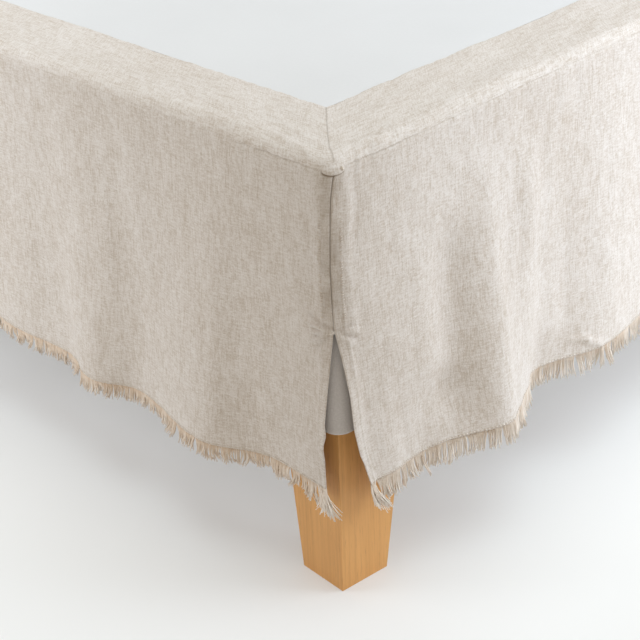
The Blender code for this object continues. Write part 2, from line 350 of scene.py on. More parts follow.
# Puckers round the bar tack, on the cloth that starts there and on the cloth that ends there.
TACK_PUCKERS = (
    table(
        Crease,
        ((-0.006, 0.018), (0.0025, -0.0040), 0.0022, -0.0010),
        ((-0.006, 0.020), (0.0010, 0.0030), 0.0026, 0.0008),
        ((-0.006, 0.020), (-0.0030, 0.0115), 0.0024, -0.0010),
        ((-0.005, 0.016), (-0.0050, 0.0180), 0.0022, 0.0006),
    ),
    table(
        Crease,
        ((-0.008, 0.028), (0.0020, -0.0120), 0.0026, -0.0010),
        ((-0.008, 0.034), (0.0012, -0.0030), 0.0020, 0.0013),
        ((-0.008, 0.024), (0.0000, 0.0020), 0.0016, -0.0012),
        ((-0.008, 0.022), (-0.0020, 0.0062), 0.0015, 0.0012),
        ((-0.008, 0.021), (-0.0040, 0.0105), 0.0015, -0.0011),
        ((-0.007, 0.026), (-0.0055, 0.0190), 0.0022, 0.0013),
        ((-0.006, 0.018), (-0.0080, 0.0220), 0.0022, -0.0008),
    ),
)


@dataclass(frozen=True)
class SidePath:
    """The line of one side, followed with the bed's outside on the right hand.

    Args:
        name: Name of the side.
        start: Where the two outer lines meet at its start, seen from above.
        direction: Unit direction in which it runs.
        length: Length from start to end.
        ends: What its start and its end are.
    """

    name: str
    start: tuple[float, float]
    direction: tuple[float, float]
    length: float
    ends: tuple[Corner, Corner]

    def spans(self, inset: float) -> tuple[float, float, float, float]:
        """Radius, arc at the start, straight run and arc at the end of the line at an inset."""
        radius = max(SIZES.corner_radius - inset, 0.0)
        turn = max(inset, SIZES.corner_radius)
        margins = [turn if end is Corner.FOOT else SIZES.head_inset for end in self.ends]
        arcs = [radius * math.pi / 4 if end is Corner.FOOT else 0.0 for end in self.ends]
        return radius, arcs[0], self.length - sum(margins), arcs[1]

    def total(self, inset: float = 0.0) -> float:
        """Length of the line at an inset, between the middles of its corners."""
        return sum(self.spans(inset)[1:])

    def corner_distance(self, way: Array) -> Array:
        """Distance along the outer line to the nearest foot corner."""
        near = even(way, FAR)
        for end, distance in zip(self.ends, (way, self.total() - way)):
            if end is Corner.FOOT:
                near = np.minimum(near, distance)
        return near

    def from_foot(self, way: Array) -> Array:
        """Distance from the foot corner that folds and creases are counted from."""
        return way if self.name == "right" else self.total() - way

    def place(self, way: Array, inset: float = 0.0) -> tuple[Array, Array, Array]:
        """Points on the line at an inset.

        Args:
            way: Distances along it from the middle of the start corner.
            inset: How far the line lies inside the outer one.

        Returns:
            Points, outward directions and running directions, all with z = 0.
        """
        radius, start_arc, straight, end_arc = self.spans(inset)
        corner = SIZES.corner_radius
        past = np.zeros_like(way)
        if self.ends[1] is Corner.FOOT:
            past = np.maximum(way - start_arc - straight - 2.0 * end_arc, 0.0)
            way = way - past
        margin = max(inset, corner) if self.ends[0] is Corner.FOOT else SIZES.head_inset
        along = margin + way - start_arc
        inward = even(way, inset)
        angle = np.zeros_like(way)
        if radius > 1e-6:
            if self.ends[0] is Corner.FOOT:
                angle = np.where(way < start_arc, (way - start_arc) / radius, angle)
                along = np.where(way < start_arc, corner + radius * np.sin(angle), along)
            if self.ends[1] is Corner.FOOT:
                over = way - start_arc - straight
                angle = np.where(over > 0, over / radius, angle)
                last = self.length - corner
                along = np.where(over > 0, last + radius * np.sin(angle), along)
            inward = np.where(angle != 0, corner - radius * np.cos(angle), inward)
        angle = np.where(past > 0, math.pi / 2, angle)
        run = np.array([*self.direction, 0.0])
        out = np.array([self.direction[1], -self.direction[0], 0.0])
        points = np.array([*self.start, 0.0]) + along[:, None] * run
        points = points - (inward + past)[:, None] * out
        cosine, sine = np.cos(angle)[:, None], np.sin(angle)[:, None]
        return points, out * cosine + run * sine, run * cosine - out * sine


HALF, HEAD_Y, FOOT_Y = SIZES.half_width, SIZES.head_y, SIZES.foot_y
LENGTH = HEAD_Y - FOOT_Y
LEFT, FOOT, RIGHT = table(
    SidePath,
    ("left", (-HALF, HEAD_Y), (0.0, -1.0), LENGTH, (Corner.HEAD, Corner.FOOT)),
    ("foot", (-HALF, FOOT_Y), (1.0, 0.0), 2 * HALF, (Corner.FOOT, Corner.FOOT)),
    ("right", (HALF, FOOT_Y), (0.0, 1.0), LENGTH, (Corner.FOOT, Corner.HEAD)),
)


class Crumple:
    """Smooth uneven relief between -1 and 1, the same on every run."""

    cells = 257
    start = (40.37, 17.71)

    def __init__(self, seed: int, width: float, length: float) -> None:
        """Makes the lattice that the relief runs through.

        Args:
            seed: Fixed seed.
            width: Size of one bump along the side.
            length: Size of one bump across it.
        """
        self.lattice = np.random.default_rng(seed).uniform(-1.0, 1.0, (self.cells, self.cells))
        self.width = width
        self.length = length

    def at(self, along: Array, across: Array) -> Array:
        """Height of the relief at places on the flat cloth."""
        x = along / self.width + self.start[0]
        y = across / self.length + self.start[1]
        column, row = np.floor(x).astype(int), np.floor(y).astype(int)
        fx, fy = smooth(x - column), smooth(y - row)
        corner = [
            self.lattice[(row + j) % self.cells, (column + i) % self.cells]
            for j in (0, 1)
            for i in (0, 1)
        ]
        upper = corner[0] + (corner[1] - corner[0]) * fx
        lower = corner[2] + (corner[3] - corner[2]) * fx
        return upper + (lower - upper) * fy


class Gathers:
    """Short puckers across the seam of one side, the same above and below it."""

    def __init__(self, path: SidePath, seed: int) -> None:
        """Makes the puckers' lattices."""
        self.path = path
        self.wave = Crumple(seed, 0.0042, 0.5)
        self.reach = Crumple(seed + 1, 0.011, 0.5)

    def at(self, way: Array, distance: float) -> Array:
        """Relief of the puckers.

        Args:
            way: Places along the side's outer line.
            distance: Distance from the seam.

        Returns:
            Relief, strongest near the foot corners, none right beside them.
        """
        near = self.path.corner_distance(way)
        zero = np.zeros_like(way)
        height = (0.00030 + 0.00120 * bell(near, 0.17)) * smooth((near - 0.006) / 0.016)
        reach = 0.0085 * (1.0 + 0.6 * self.reach.at(way, zero))
        return height * self.wave.at(way, zero) * np.exp(-distance / reach)


GATHERS = {path.name: Gathers(path, 300 + 10 * i) for i, path in enumerate((LEFT, FOOT, RIGHT))}


@dataclass(frozen=True)
class Wire:
    """A number or vector socket that can stand in a sum."""

    bench: "NodeBench"
    socket: Any
    vector: bool = False

    def _sum(self, operation: str, *values: Any) -> "Wire":
        """Adds the math node for an operation on this kind of value."""
        if any(isinstance(value, Wire) and value.vector for value in values):
            node = self.bench.add(
                "ShaderNodeVectorMath", {"operation": operation}, dict(enumerate(values))
            )
            return Wire(self.bench, node.outputs["Vector"], True)
        node = self.bench.add(
            "ShaderNodeMath", {"operation": operation}, dict(enumerate(values))
        )
        return Wire(self.bench, node.outputs[0])

    def __add__(self, other: Any) -> "Wire":
        """Sum."""
        return self._sum("ADD", self, other)

    def __sub__(self, other: Any) -> "Wire":
        """Difference."""
        return self._sum("SUBTRACT", self, other)

    def __rsub__(self, other: Any) -> "Wire":
        """Difference, with the value on the left."""
        return self._sum("SUBTRACT", other, self)

    def __mul__(self, other: Any) -> "Wire":
        """Product. A vector times a number is a longer or shorter vector."""
        other_vector = isinstance(other, tuple) or (isinstance(other, Wire) and other.vector)
        if self.vector == other_vector:
            return self._sum("MULTIPLY", self, other)
        arrow, number = (self, other) if self.vector else (other, self)
        node = self.bench.add(
            "ShaderNodeVectorMath", {"operation": "SCALE"}, {0: arrow, "Scale": number}
        )
        return Wire(self.bench, node.outputs["Vector"], True)

    def sine(self) -> "Wire":
        """Sine of the value."""
        return self._sum("SINE", self)

    def parts(self) -> tuple["Wire", "Wire", "Wire"]:
        """The three numbers of a vector."""
        node = self.bench.add("ShaderNodeSeparateXYZ", {}, {0: self})
        return tuple(Wire(self.bench, socket) for socket in node.outputs)

    def step(self, low: float, high: float) -> "Wire":
        """Soft step from 0 below one value to 1 above another."""
        node = self.bench.add(
            "ShaderNodeMapRange",
            {"interpolation_type": "SMOOTHSTEP"},
            {"Value": self, "From Min": low, "From Max": high},
        )
        return Wire(self.bench, node.outputs["Result"])


class NodeBench:
    """Adds and links the nodes of one tree."""

    def __init__(self, tree: bpy.types.NodeTree) -> None:
        """Starts with the tree's nodes removed."""
        self.tree = tree
        tree.nodes.clear()

    def add(
        self, kind: str, settings: dict[str, Any] | None = None, inputs: dict | None = None
    ) -> bpy.types.Node:
        """Adds one node.

        Args:
            kind: Blender's type name.
            settings: Properties, set before its sockets.
            inputs: Values or wires, by socket name or number.

        Returns:
            The node.
        """
        node = self.tree.nodes.new(kind)
        for name, value in (settings or {}).items():
            setattr(node, name, value)
        for key, value in (inputs or {}).items():
            self.feed(self.find(node.inputs, key), value)
        return node

    @staticmethod
    def find(sockets: Any, key: str | int) -> Any:
        """The socket of that number, or the enabled one of that name."""
        if isinstance(key, int):
            return sockets[key]
        named = [socket for socket in sockets if socket.name == key]
        return next((socket for socket in named if socket.enabled), named[0])

    def feed(self, socket: Any, value: Any) -> None:
        """Links a wire to a socket, or sets its value."""
        if isinstance(value, Wire):
            self.tree.links.new(value.socket, socket)
        elif isinstance(value, bpy.types.NodeSocket):
            self.tree.links.new(value, socket)
        else:
            socket.default_value = value

    def noise(self, place: Wire, detail: float = 2.0, roughness: float = 0.5) -> Wire:
        """Noise at a place, about 0.5 on average."""
        node = self.add(
            "ShaderNodeTexNoise",
            {"noise_dimensions": "3D"},
            {"Vector": place, "Scale": 1.0, "Detail": detail, "Roughness": roughness},
        )
        return Wire(self, node.outputs[0])

    def blend(self, share: Wire, first: Any, second: Any) -> Wire:
        """Mixes two colours by a share."""
        node = self.add(
            "ShaderNodeMix", {"data_type": "RGBA", "clamp_factor": True}, {0: share}
        )
        self.feed(node.inputs[6], first)
        self.feed(node.inputs[7], second)
        return Wire(self, node.outputs[2], True)

    def attribute(self, name: str, vector: bool = False) -> Wire:
        """A value that the mesh carries, for a shader."""
        node = self.add("ShaderNodeAttribute", {"attribute_name": name})
        return Wire(self, node.outputs["Vector" if vector else "Fac"], vector)

    def object_place(self) -> Wire:
        """The place on the object, for a shader."""
        node = self.add("ShaderNodeTexCoord")
        return Wire(self, node.outputs["Object"], True)


Colour = tuple[float, float, float]


@dataclass(frozen=True)
class Finish:
    """What every finish has.

    Args:
        name: Name of the material.
        light: Colour of its lighter places.
        dark: Colour of its darker places.
        roughness: Roughness all over.
        specular: Strength of its gloss.
        sheen: Strength of its soft shine at grazing angles.
    """

    name: str
    light: Colour
    dark: Colour
    roughness: float
    specular: float = 0.2
    sheen: float = 0.0

    def material(self) -> bpy.types.Material:
        """The material, made once."""
        found = bpy.data.materials.get(self.name)
        if found is not None:
            return found
        made = bpy.data.materials.new(self.name)
        made.use_nodes = True
        bench = NodeBench(made.node_tree)
        values = {
            "Roughness": self.roughness,
            "Metallic": 0.0,
            "Specular IOR Level": self.specular,
            "Sheen Weight": self.sheen,
        }
        shader = bench.add("ShaderNodeBsdfPrincipled", {}, values)
        output = bench.add("ShaderNodeOutputMaterial")
        bench.feed(output.inputs["Surface"], shader.outputs["BSDF"])
        self.dress(bench, shader)
        return made

    def dress(self, bench: NodeBench, shader: bpy.types.Node) -> None:
        """Lays colour and relief on the shader."""
        raise NotImplementedError

    def colour(self, bench: NodeBench, tone: Wire, low: float = 0.3, high: float = 0.7) -> Wire:
        """From the dark colour to the light one, as the tone goes from low to high."""
        return bench.blend(tone.step(low, high), (*self.dark, 1.0), (*self.light, 1.0))

    @staticmethod
    def relief(bench: NodeBench, shader: bpy.types.Node, height: Wire, strength: float) -> None:
        """Feeds a height in millimetres to the shader's normal."""
        bump = bench.add(
            "ShaderNodeBump", {}, {"Height": height, "Distance": 0.001, "Strength": strength}
        )
        bench.feed(shader.inputs["Normal"], bump.outputs["Normal"])


@dataclass(frozen=True)
class LinenFinish(Finish):
    """Washed linen: slubby threads both ways, soft crinkles that run with the warp.

    Args:
        slub: Colour of its thicker, darker threads.
        shade: Colour that the painted shade darkens the cloth towards, also that of the dark seam
            and mitre lines.
    """

    slub: Colour = (0.470, 0.375, 0.270)
    shade: Colour = (0.300, 0.240, 0.180)

    def dress(self, bench: NodeBench, shader: bpy.types.Node) -> None:
        """Lays colour and relief on the shader."""
        place = bench.attribute("cloth_place", True)
        hem = bench.attribute("seam_and_painted_shade")
        stray = bench.noise(place * (30.0, 30.0, 1.0), 2.0) * 0.5
        warp = bench.noise(place * (800.0, 95.0, 1.0) + stray, 2.0, 0.6)
        weft = bench.noise(place * (190.0, 760.0, 1.0) + stray, 2.0, 0.6)
        fleck = bench.noise(place * (1300.0, 700.0, 1.0), 1.0)
        crinkle = bench.noise(place * (330.0, 105.0, 1.0) + stray, 3.0, 0.6)
        patch = bench.noise(place * (75.0, 34.0, 1.0), 3.0, 0.6)
        broad = bench.noise(place * (12.0, 8.0, 1.0), 2.0)
        tone = warp * 1.1 + weft * 0.9 + fleck * 0.9 + crinkle * 0.3 + patch * 0.4 + broad * 0.3
        colour = self.colour(bench, tone, 1.35, 2.50)
        slubs = (warp * 0.5 + fleck * 0.3 + crinkle * 0.2).step(0.55, 0.72)
        colour = bench.blend(slubs * 0.55, colour, (*self.slub, 1.0))
        # Painted shade and the dark seam and mitre lines, carried by the mesh, darken the colour
        # here.
        colour = bench.blend(hem, colour, (*self.shade, 1.0))
        bench.feed(shader.inputs["Base Color"], colour)
        across, down, _ = place.parts()
        threads = (across * 5200.0).sine() * 0.012 + (down * 5200.0).sine() * 0.012
        height = warp * 0.27 + weft * 0.22 + fleck * 0.16 + crinkle * 0.14 + patch * 0.55
        self.relief(bench, shader, height + threads, 0.78)
        shader.inputs["Sheen Roughness"].default_value = 0.4


@dataclass(frozen=True)
class YarnFinish(Finish):
    """Loose linen yarns and sewing thread, each with its own tone."""

    def dress(self, bench: NodeBench, shader: bpy.types.Node) -> None:
        """Lays colour and relief on the shader."""
        tone = bench.attribute("strand_tone") * 0.65 + bench.attribute("strand_along") * 0.45
        colour = bench.blend(tone, (*self.dark, 1.0), (*self.light, 1.0))
        bench.feed(shader.inputs["Base Color"], colour)


@dataclass(frozen=True)
class CottonFinish(Finish):
    """Plain white cotton with a close even weave."""

    def dress(self, bench: NodeBench, shader: bpy.types.Node) -> None:
        """Lays colour and relief on the shader."""
        place = bench.attribute("cloth_place", True)
        broad = bench.noise(place * (7.0, 7.0, 1.0), 3.0)
        fine = bench.noise(place * (420.0, 420.0, 1.0), 2.0)
        tone = broad * 0.7 + fine * 0.3
        bench.feed(shader.inputs["Base Color"], self.colour(bench, tone))
        across, down, _ = place.parts()
        threads = (across * 7000.0).sine() * 0.01 + (down * 7000.0).sine() * 0.01
        self.relief(bench, shader, fine * 0.06 + broad * 1.2 + threads, 0.8)


@dataclass(frozen=True)
class UpholsteryFinish(Finish):
    """Close grey cloth stretched over the bed base."""

    def dress(self, bench: NodeBench, shader: bpy.types.Node) -> None:
        """Lays colour and relief on the shader."""
        place = bench.object_place()
        weave = bench.noise(place * (700.0, 700.0, 700.0), 2.0)
        broad = bench.noise(place * (8.0, 8.0, 8.0), 2.0)
        tone = weave * 0.6 + broad * 0.4
        bench.feed(shader.inputs["Base Color"], self.colour(bench, tone))
        self.relief(bench, shader, weave * 0.25 + broad, 0.8)


@dataclass(frozen=True)
class BeechFinish(Finish):
    """Oiled beech with upright grain and short pores.

    Args:
        pore: Colour of the pores.
    """

    pore: Colour = (0.30, 0.14, 0.05)

    def dress(self, bench: NodeBench, shader: bpy.types.Node) -> None:
        """Lays colour and relief on the shader."""
        place = bench.object_place()
        waver = bench.noise(place * (18.0, 18.0, 3.0), 2.0)
        rings = bench.noise(place * (420.0, 420.0, 5.0) + waver * 1.5, 4.0, 0.6)
        pores = bench.noise(place * (1300.0, 1300.0, 60.0), 2.0, 0.7)
        broad = bench.noise(place * (45.0, 45.0, 4.0), 2.0)
        tone = rings * 0.75 + broad * 0.25
        colour = self.colour(bench, tone, 0.28, 0.72)
        colour = bench.blend(pores.step(0.56, 0.80) * 0.50, colour, (*self.pore, 1.0))
        bench.feed(shader.inputs["Base Color"], colour)
        self.relief(bench, shader, pores * -0.12 + rings * 0.06, 0.7)
        bench.feed(shader.inputs["Roughness"], rings * 0.15 + self.roughness)


@dataclass(frozen=True)
class FloorFinish(Finish):
    """Plain pale studio floor, lit a little from within.

    Args:
        glow: Strength of the light that it gives.
    """

    glow: float = 0.25

    def dress(self, bench: NodeBench, shader: bpy.types.Node) -> None:
        """Sets the floor's colour and glow."""
        shader.inputs["Base Color"].default_value = (*self.light, 1.0)
        # The dark colour is the colour of the floor's glow, painted light that brightens its shade
        # beside the bed.
        shader.inputs["Emission Color"].default_value = (*self.dark, 1.0)
        shader.inputs["Emission Strength"].default_value = self.glow


# Name, light colour, dark colour, roughness, specular, sheen.
LINEN = LinenFinish(
    "washed_linen", (0.820, 0.786, 0.752), (0.545, 0.468, 0.388), 0.85, 0.25, 0.15
)
FRINGE_YARN = YarnFinish(
    "fringe_yarn", (0.990, 0.925, 0.845), (0.700, 0.545, 0.400), 0.9, sheen=0.1
)
SEWING_THREAD = YarnFinish(
    "sewing_thread", (0.960, 0.920, 0.860), (0.500, 0.390, 0.270), 0.85, sheen=0.1
)
COTTON = CottonFinish("white_cotton", (0.754, 0.760, 0.764), (0.724, 0.730, 0.734), 0.9)
UPHOLSTERY = UpholsteryFinish(
    "grey_upholstery", (0.640, 0.615, 0.600), (0.560, 0.535, 0.520), 0.9
)
BEECH = BeechFinish("oiled_beech", (0.780, 0.420, 0.142), (0.655, 0.332, 0.100), 0.42, 0.5)
STUDIO_FLOOR = FloorFinish("pale_floor", (0.610, 0.605, 0.590), (0.970, 0.990, 1.000), 0.9, 0.5)


def link(mesh: bpy.types.Mesh, name: str, finish: Finish) -> bpy.types.Object:
    """Object of a mesh in the scene, with one finish."""
    mesh.materials.clear()
    mesh.materials.append(finish.material())
    return hang(name, mesh)


def hang(name: str, data: Any) -> bpy.types.Object:
    """Object of some data, linked to the scene."""
    made = bpy.data.objects.new(name, data)
    bpy.context.scene.collection.objects.link(made)
    return made


def carry(mesh: bpy.types.Mesh, name: str, values: Array) -> None:
    """Stores a number or an arrow for each point of a mesh."""
    kind, key = ("FLOAT_VECTOR", "vector") if values.ndim == 2 else ("FLOAT", "value")
    layer = mesh.attributes.new(name, kind, "POINT")
    layer.data.foreach_set(key, np.ascontiguousarray(values, dtype=np.float32).ravel())


def shade_smooth(mesh: bpy.types.Mesh) -> None:
    """Shades every face smoothly."""
    mesh.polygons.foreach_set("use_smooth", np.ones(len(mesh.polygons), dtype=bool))


def shaped_box(place: Callable[[Vector], Sequence[float]]) -> bmesh.types.BMesh:
    """Box whose corners, given as -0.5 or 0.5 each way, go where a rule puts them."""
    mesh = bmesh.new()
    bmesh.ops.create_cube(mesh, size=1.0)
    for vertex in mesh.verts:
        vertex.co = place(vertex.co)
    return mesh


def soften(
    mesh: bmesh.types.BMesh, edges: list[bmesh.types.BMEdge], radius: float, segments: int
) -> None:
    """Rounds some edges of a mesh."""
    bmesh.ops.bevel(
        mesh, geom=edges, offset=radius, segments=segments, profile=0.5, affect="EDGES"
    )


def finished(mesh: bmesh.types.BMesh, name: str, finish: Finish) -> bpy.types.Object:
    """Smoothly shaded piece of an edited mesh, which is used up."""
    data = bpy.data.meshes.new(name)
    mesh.to_mesh(data)
    mesh.free()
    shade_smooth(data)
    piece = link(data, name, finish)
    piece.modifiers.new("even_shading", "WEIGHTED_NORMAL").keep_sharp = True
    return piece


def register(piece: bpy.types.Object, slot: str, *nodes: str) -> None:
    """Hangs a finished piece on the root body, hides the solids that it stands for, and reports
    it.

    Args:
        piece: The piece.
        slot: Name of a material slot; not used.
        nodes: The solids that it stands for.
    """
    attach(piece, "root")
    if nodes:
        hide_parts(*nodes)
    triangles = sum(len(polygon.vertices) - 2 for polygon in piece.data.polygons)
    LOG.info("%s: %d triangles", piece.name, triangles)


@dataclass
class ClothShell:
    """A thin closed sheet of cloth on a grid of points.

    Args:
        name: Name of the piece.
        face: Points of the outer face, rows by columns, rows running down the cloth and
            columns running with the bed's outside on the right hand.
        place: The same points on the flat cloth.
        tone: How much darker the cloth is at each point: painted shade, and the dark seam and
            mitre lines.
        thickness: Thickness of the cloth.
        finish: Finish of the cloth.
    """

    name: str
    face: Array
    place: Array
    tone: Array
    thickness: float = SIZES.linen
    finish: Finish = LINEN

    @staticmethod
    def flat(across: Array, down: Array | float) -> Array:
        """Places on the flat cloth."""
        across, down = np.broadcast_arrays(across, down)
        return np.stack([across, down, np.zeros_like(across)], axis=-1)

    @classmethod
    def linen(
        cls, name: str, rows: Sequence[tuple[Array, Array, Array]], seed: int
    ) -> bpy.types.Object:
        """Linen piece from its rows of points, flat places and tones."""
        face, place, tone = (np.array(part) for part in zip(*rows))
        return cls(name, face, place + UP * seed, tone).build()

    def build(self) -> bpy.types.Object:
        """Makes the piece: outer face, inner face and the edges between them."""
        rows, columns, _ = self.face.shape
        normals = unit(
            np.cross(np.gradient(self.face, axis=0), np.gradient(self.face, axis=1))
        )
        inner = self.face - normals * self.thickness
        points = np.concatenate([self.face.reshape(-1, 3), inner.reshape(-1, 3)])
        outer = np.arange(rows * columns).reshape(rows, columns)
        behind = outer + rows * columns
        quads = (
            (outer[:-1, :-1], outer[1:, :-1], outer[1:, 1:], outer[:-1, 1:]),
            (behind[:-1, :-1], behind[:-1, 1:], behind[1:, 1:], behind[1:, :-1]),
            (outer[0, 1:], behind[0, 1:], behind[0, :-1], outer[0, :-1]),
            (outer[-1, :-1], behind[-1, :-1], behind[-1, 1:], outer[-1, 1:]),
            (outer[:-1, 0], behind[:-1, 0], behind[1:, 0], outer[1:, 0]),
            (outer[1:, -1], behind[1:, -1], behind[:-1, -1], outer[:-1, -1]),
        )
        faces = [np.stack([grid.ravel() for grid in corners], axis=1) for corners in quads]
        mesh = bpy.data.meshes.new(self.name)
        mesh.from_pydata(points.tolist(), [], np.concatenate(faces).tolist())
        shade_smooth(mesh)
        mesh.set_sharp_from_angle(angle=math.radians(60))
        carry(mesh, "cloth_place", np.concatenate([self.place.reshape(-1, 3)] * 2))
        # How far painted shade and the seam and mitre lines darken each point.
        carry(mesh, "seam_and_painted_shade", np.concatenate([self.tone.ravel()] * 2))
        return link(mesh, self.name, self.finish)


STRAY_REACH = 0.045  # how far from the corner the cloth strays with its seam


def seam_wander(below_top: Array) -> Array:
    """How far the photographed corner's seams stray towards the right side.

    Args:
        below_top: Distance below the seam between border and drop.

    Returns:
        Distance along the outer line.
    """
    upper = 0.0055 * np.exp(-np.maximum(below_top, 0.0) / 0.017)
    return upper - 0.0012 * bell(below_top - 0.085, 0.040)


def edge_inset(z: Array) -> Array:
    """How far the outer face lies inside the seam's plane on the rounded upper edge."""
    above = np.clip(z - (SIZES.top_z - SIZES.edge_radius), 0.0, SIZES.edge_radius)
    return SIZES.edge_radius - np.sqrt(SIZES.edge_radius**2 - above**2)


def graded(total: float, fine: float, coarse: float, ends: Sequence[float]) -> Array:
    """Places along a side, close together near its fine ends.

    Args:
        total: Length of the side.
        fine: Step near an end.
        coarse: Step elsewhere.
        ends: How far the fine steps reach from the start and from the end.

    Returns:
        Distances from 0 to total.
    """
    long_reach = 0.2  # an end with a longer reach than this also gets half steps beside it
    half_steps = 0.020
    places = [0.0]
    while places[-1] < total:
        here = places[-1]
        spans = [(gap, end) for gap, end in zip((here, total - here), ends) if end]
        near = min(gap / end for gap, end in spans)
        beside = min([gap for gap, end in spans if end > long_reach], default=FAR)
        step = fine + (coarse - fine) * min(max(near - 1.0, 0.0) * 4.0, 1.0)
        places.append(here + (step if beside > half_steps else fine / 2))
    return np.array(places) * (total / places[-1])


@dataclass
class DropCloth:
    """Hanging linen of one side.

    Args:
        path: Line of the side.
        folds: Crests and troughs of the hem, counted from the foot corner.
        slits: Free edge at the start and at the end, where there is one.
        creases: Creases laid on one by one.
        wander: Whether its corner seam at the photographed corner strays.
        seed: Seed of its fine relief.
        fine_reach: How far fine columns reach from its start and from its end.
        hem_painted_shade: How much painted shade darkens the sewn side hems beside the corner
            seam.
        hem_band: Width of the side hems.
        pull_reach: How far from a slit the cloth is drawn back.
        fade_power: How late the folds come on below the seam.
        seam_shade: How much darker the seam line is.
        painted_corner_shade: How much painted shade darkens the cloth beside a corner.
        pucker_depth: Size of the puckers round the tack.
        pucker_painted_shade: How much painted shade darkens their troughs, for each metre of
            depth.
        crease_painted_shade: The same for the painted shade in the creases' troughs.
        seam_groove: Depth of the seam line.
        crinkle_size: Size of the fine crumples.
        soft_size: Size of the soft crumples.
        broad_size: Size of the broad waves at the hem.
    """

    path: SidePath
    folds: list[HemPoint]
    slits: tuple[Sequence[SlitRow] | None, Sequence[SlitRow] | None]
    creases: Sequence[Crease]
    wander: tuple[bool, bool]
    seed: int
    fine_reach: tuple[float, float]
    hem_painted_shade: float = 0.10
    hem_band: float = 0.0076
    pull_reach: float = 0.150
    fade_power: float = 1.35
    seam_shade: float = 0.36
    painted_corner_shade: float = 0.14
    pucker_depth: float = 1.3
    pucker_painted_shade: float = 115.0
    crease_painted_shade: float = 15.0
    seam_groove: float = 0.00015
    crinkle_size: float = 0.00036
    soft_size: float = 0.0008
    broad_size: float = 0.0011

    def __post_init__(self) -> None:
        """Makes the relief's layers."""
        self.total = self.path.total()
        self.soft = Crumple(self.seed, 0.022, 0.055)
        self.crinkle = Crumple(self.seed + 1, 0.0082, 0.019)
        self.broad = Crumple(self.seed + 2, 0.060, 0.140)
        self.gathers = GATHERS[self.path.name]
        self.ripple = Crumple(self.seed + 5, 0.0090, 0.0021)
        self.mottle = Crumple(self.seed + 6, 0.0052, 0.0105)

    def fold_out(self, along: Array, down: float) -> Array:
        """How far the folds stand out along one row of the cloth."""
        height = 1.0 - min(down, 1.0)
        places = np.array([row.along + row.lean * height for row in self.folds])
        outs = np.array([row.out for row in self.folds])
        index = np.clip(np.searchsorted(places, along) - 1, 0, len(places) - 2)
        share = (along - places[index]) / (places[index + 1] - places[index])
        blend = 0.5 - 0.5 * np.cos(math.pi * np.clip(share, 0.0, 1.0))
        out = outs[index] + (outs[index + 1] - outs[index]) * blend
        beside = SIZES.beside_base
        outward = np.maximum(out, 0.0) * max(down, 0.0) ** self.fade_power
        inward = np.minimum(out, 0.0) * smooth(np.array((down - beside) / (1.0 - beside)))
        return outward + inward

    def slit_draw(self, way: Array, down: float) -> tuple[Array, Array]:
        """How far one row is drawn along the side and pushed out beside a slit."""
        below = down * SIZES.drop
        shift, flare = np.zeros_like(way), np.zeros_like(way)
        distances = way, self.total - way
        for slit, distance, sign in zip(self.slits, distances, (1.0, -1.0)):
            if slit is None:
                continue
            heights, pulls, outs = zip(*((row.z, row.pull, row.out) for row in reversed(slit)))
            pull = np.interp(SIZES.seam_z - below, heights, pulls)
            out = np.interp(SIZES.seam_z - below, heights, outs)
            fade = np.clip(1.0 - distance / self.pull_reach, 0.0, 1.0)
            shift = shift + sign * pull * fade**2
            flare = flare + out * fade**6
        for stray, distance in zip(self.wander, distances):
            if stray:
                shift = shift + seam_wander(np.array(below)) * bell(distance, STRAY_REACH)
        return shift, flare

    def side_hem(self, distance: Array, below: float) -> tuple[Array, Array]:
        """Relief of the doubled side hem beside a corner, with its painted shade and the dark line
        of the corner seam.

        Args:
            distance: Distance from the cloth's edge.
            below: Distance below the seam.

        Returns:
            Relief, and how much darker the cloth is.
        """
        sewn = float(smooth(np.array((SIZES.seam_z - SIZES.tack_z - below) / 0.030)))
        band = 1.0 - smooth((distance - self.hem_band) / 0.0012)
        groove = bell(distance - self.hem_band - 0.0004, 0.0011)
        roll = bell(distance, 0.0006)
        level = even(distance, below)
        ripple = self.ripple.at(distance, level)
        turned = np.clip(1.0 - distance / 0.015, 0.0, 1.0) ** 2
        relief = band * (0.00012 + (0.00008 + 0.00032 * sewn) * ripple)
        relief = relief + groove * (0.00062 - 0.00070 * sewn) - 0.00050 * roll
        relief = relief + 0.0016 * (1.0 - sewn) * turned
        # Mottled painted shade over the side hem, and the dark line of the corner seam at the
        # cloth's edge.
        mottle = 1.0 + 1.6 * self.mottle.at(distance, level)
        return relief, 0.42 * roll * sewn + self.hem_painted_shade * band * sewn * mottle

    def under_lip(self, distance: Array, below: float, end: int) -> Array:
        """Shade of the crevice below the lip at the photographed corner."""
        if not self.wander[end]:
            return np.zeros_like(distance)
        side = 1.0 if end == 0 else -1.0
        across = (distance * side + 0.0008) / 0.0090
        edge = 0.0006 + 0.0042 * np.sqrt(np.maximum(1.0 - across**2, 0.0))
        line = bell(below - edge, 0.0008) * smooth((1.0 - np.abs(across)) / 0.10)
        return 0.90 * line

    def tack_star(self, distance: Array, below: float, end: int) -> Array:
        """Puckers that radiate from the bar tack."""
        height = below - (SIZES.seam_z - SIZES.tack_z) - 0.0018
        level = even(distance, height)
        reach = np.hypot(distance, height)
        relief = -0.0005 * np.exp(-reach / 0.005)
        for pucker in TACK_PUCKERS[end]:
            relief = relief + self.pucker_depth * pucker.at(distance, level)
        return relief * smooth(reach / 0.0025)

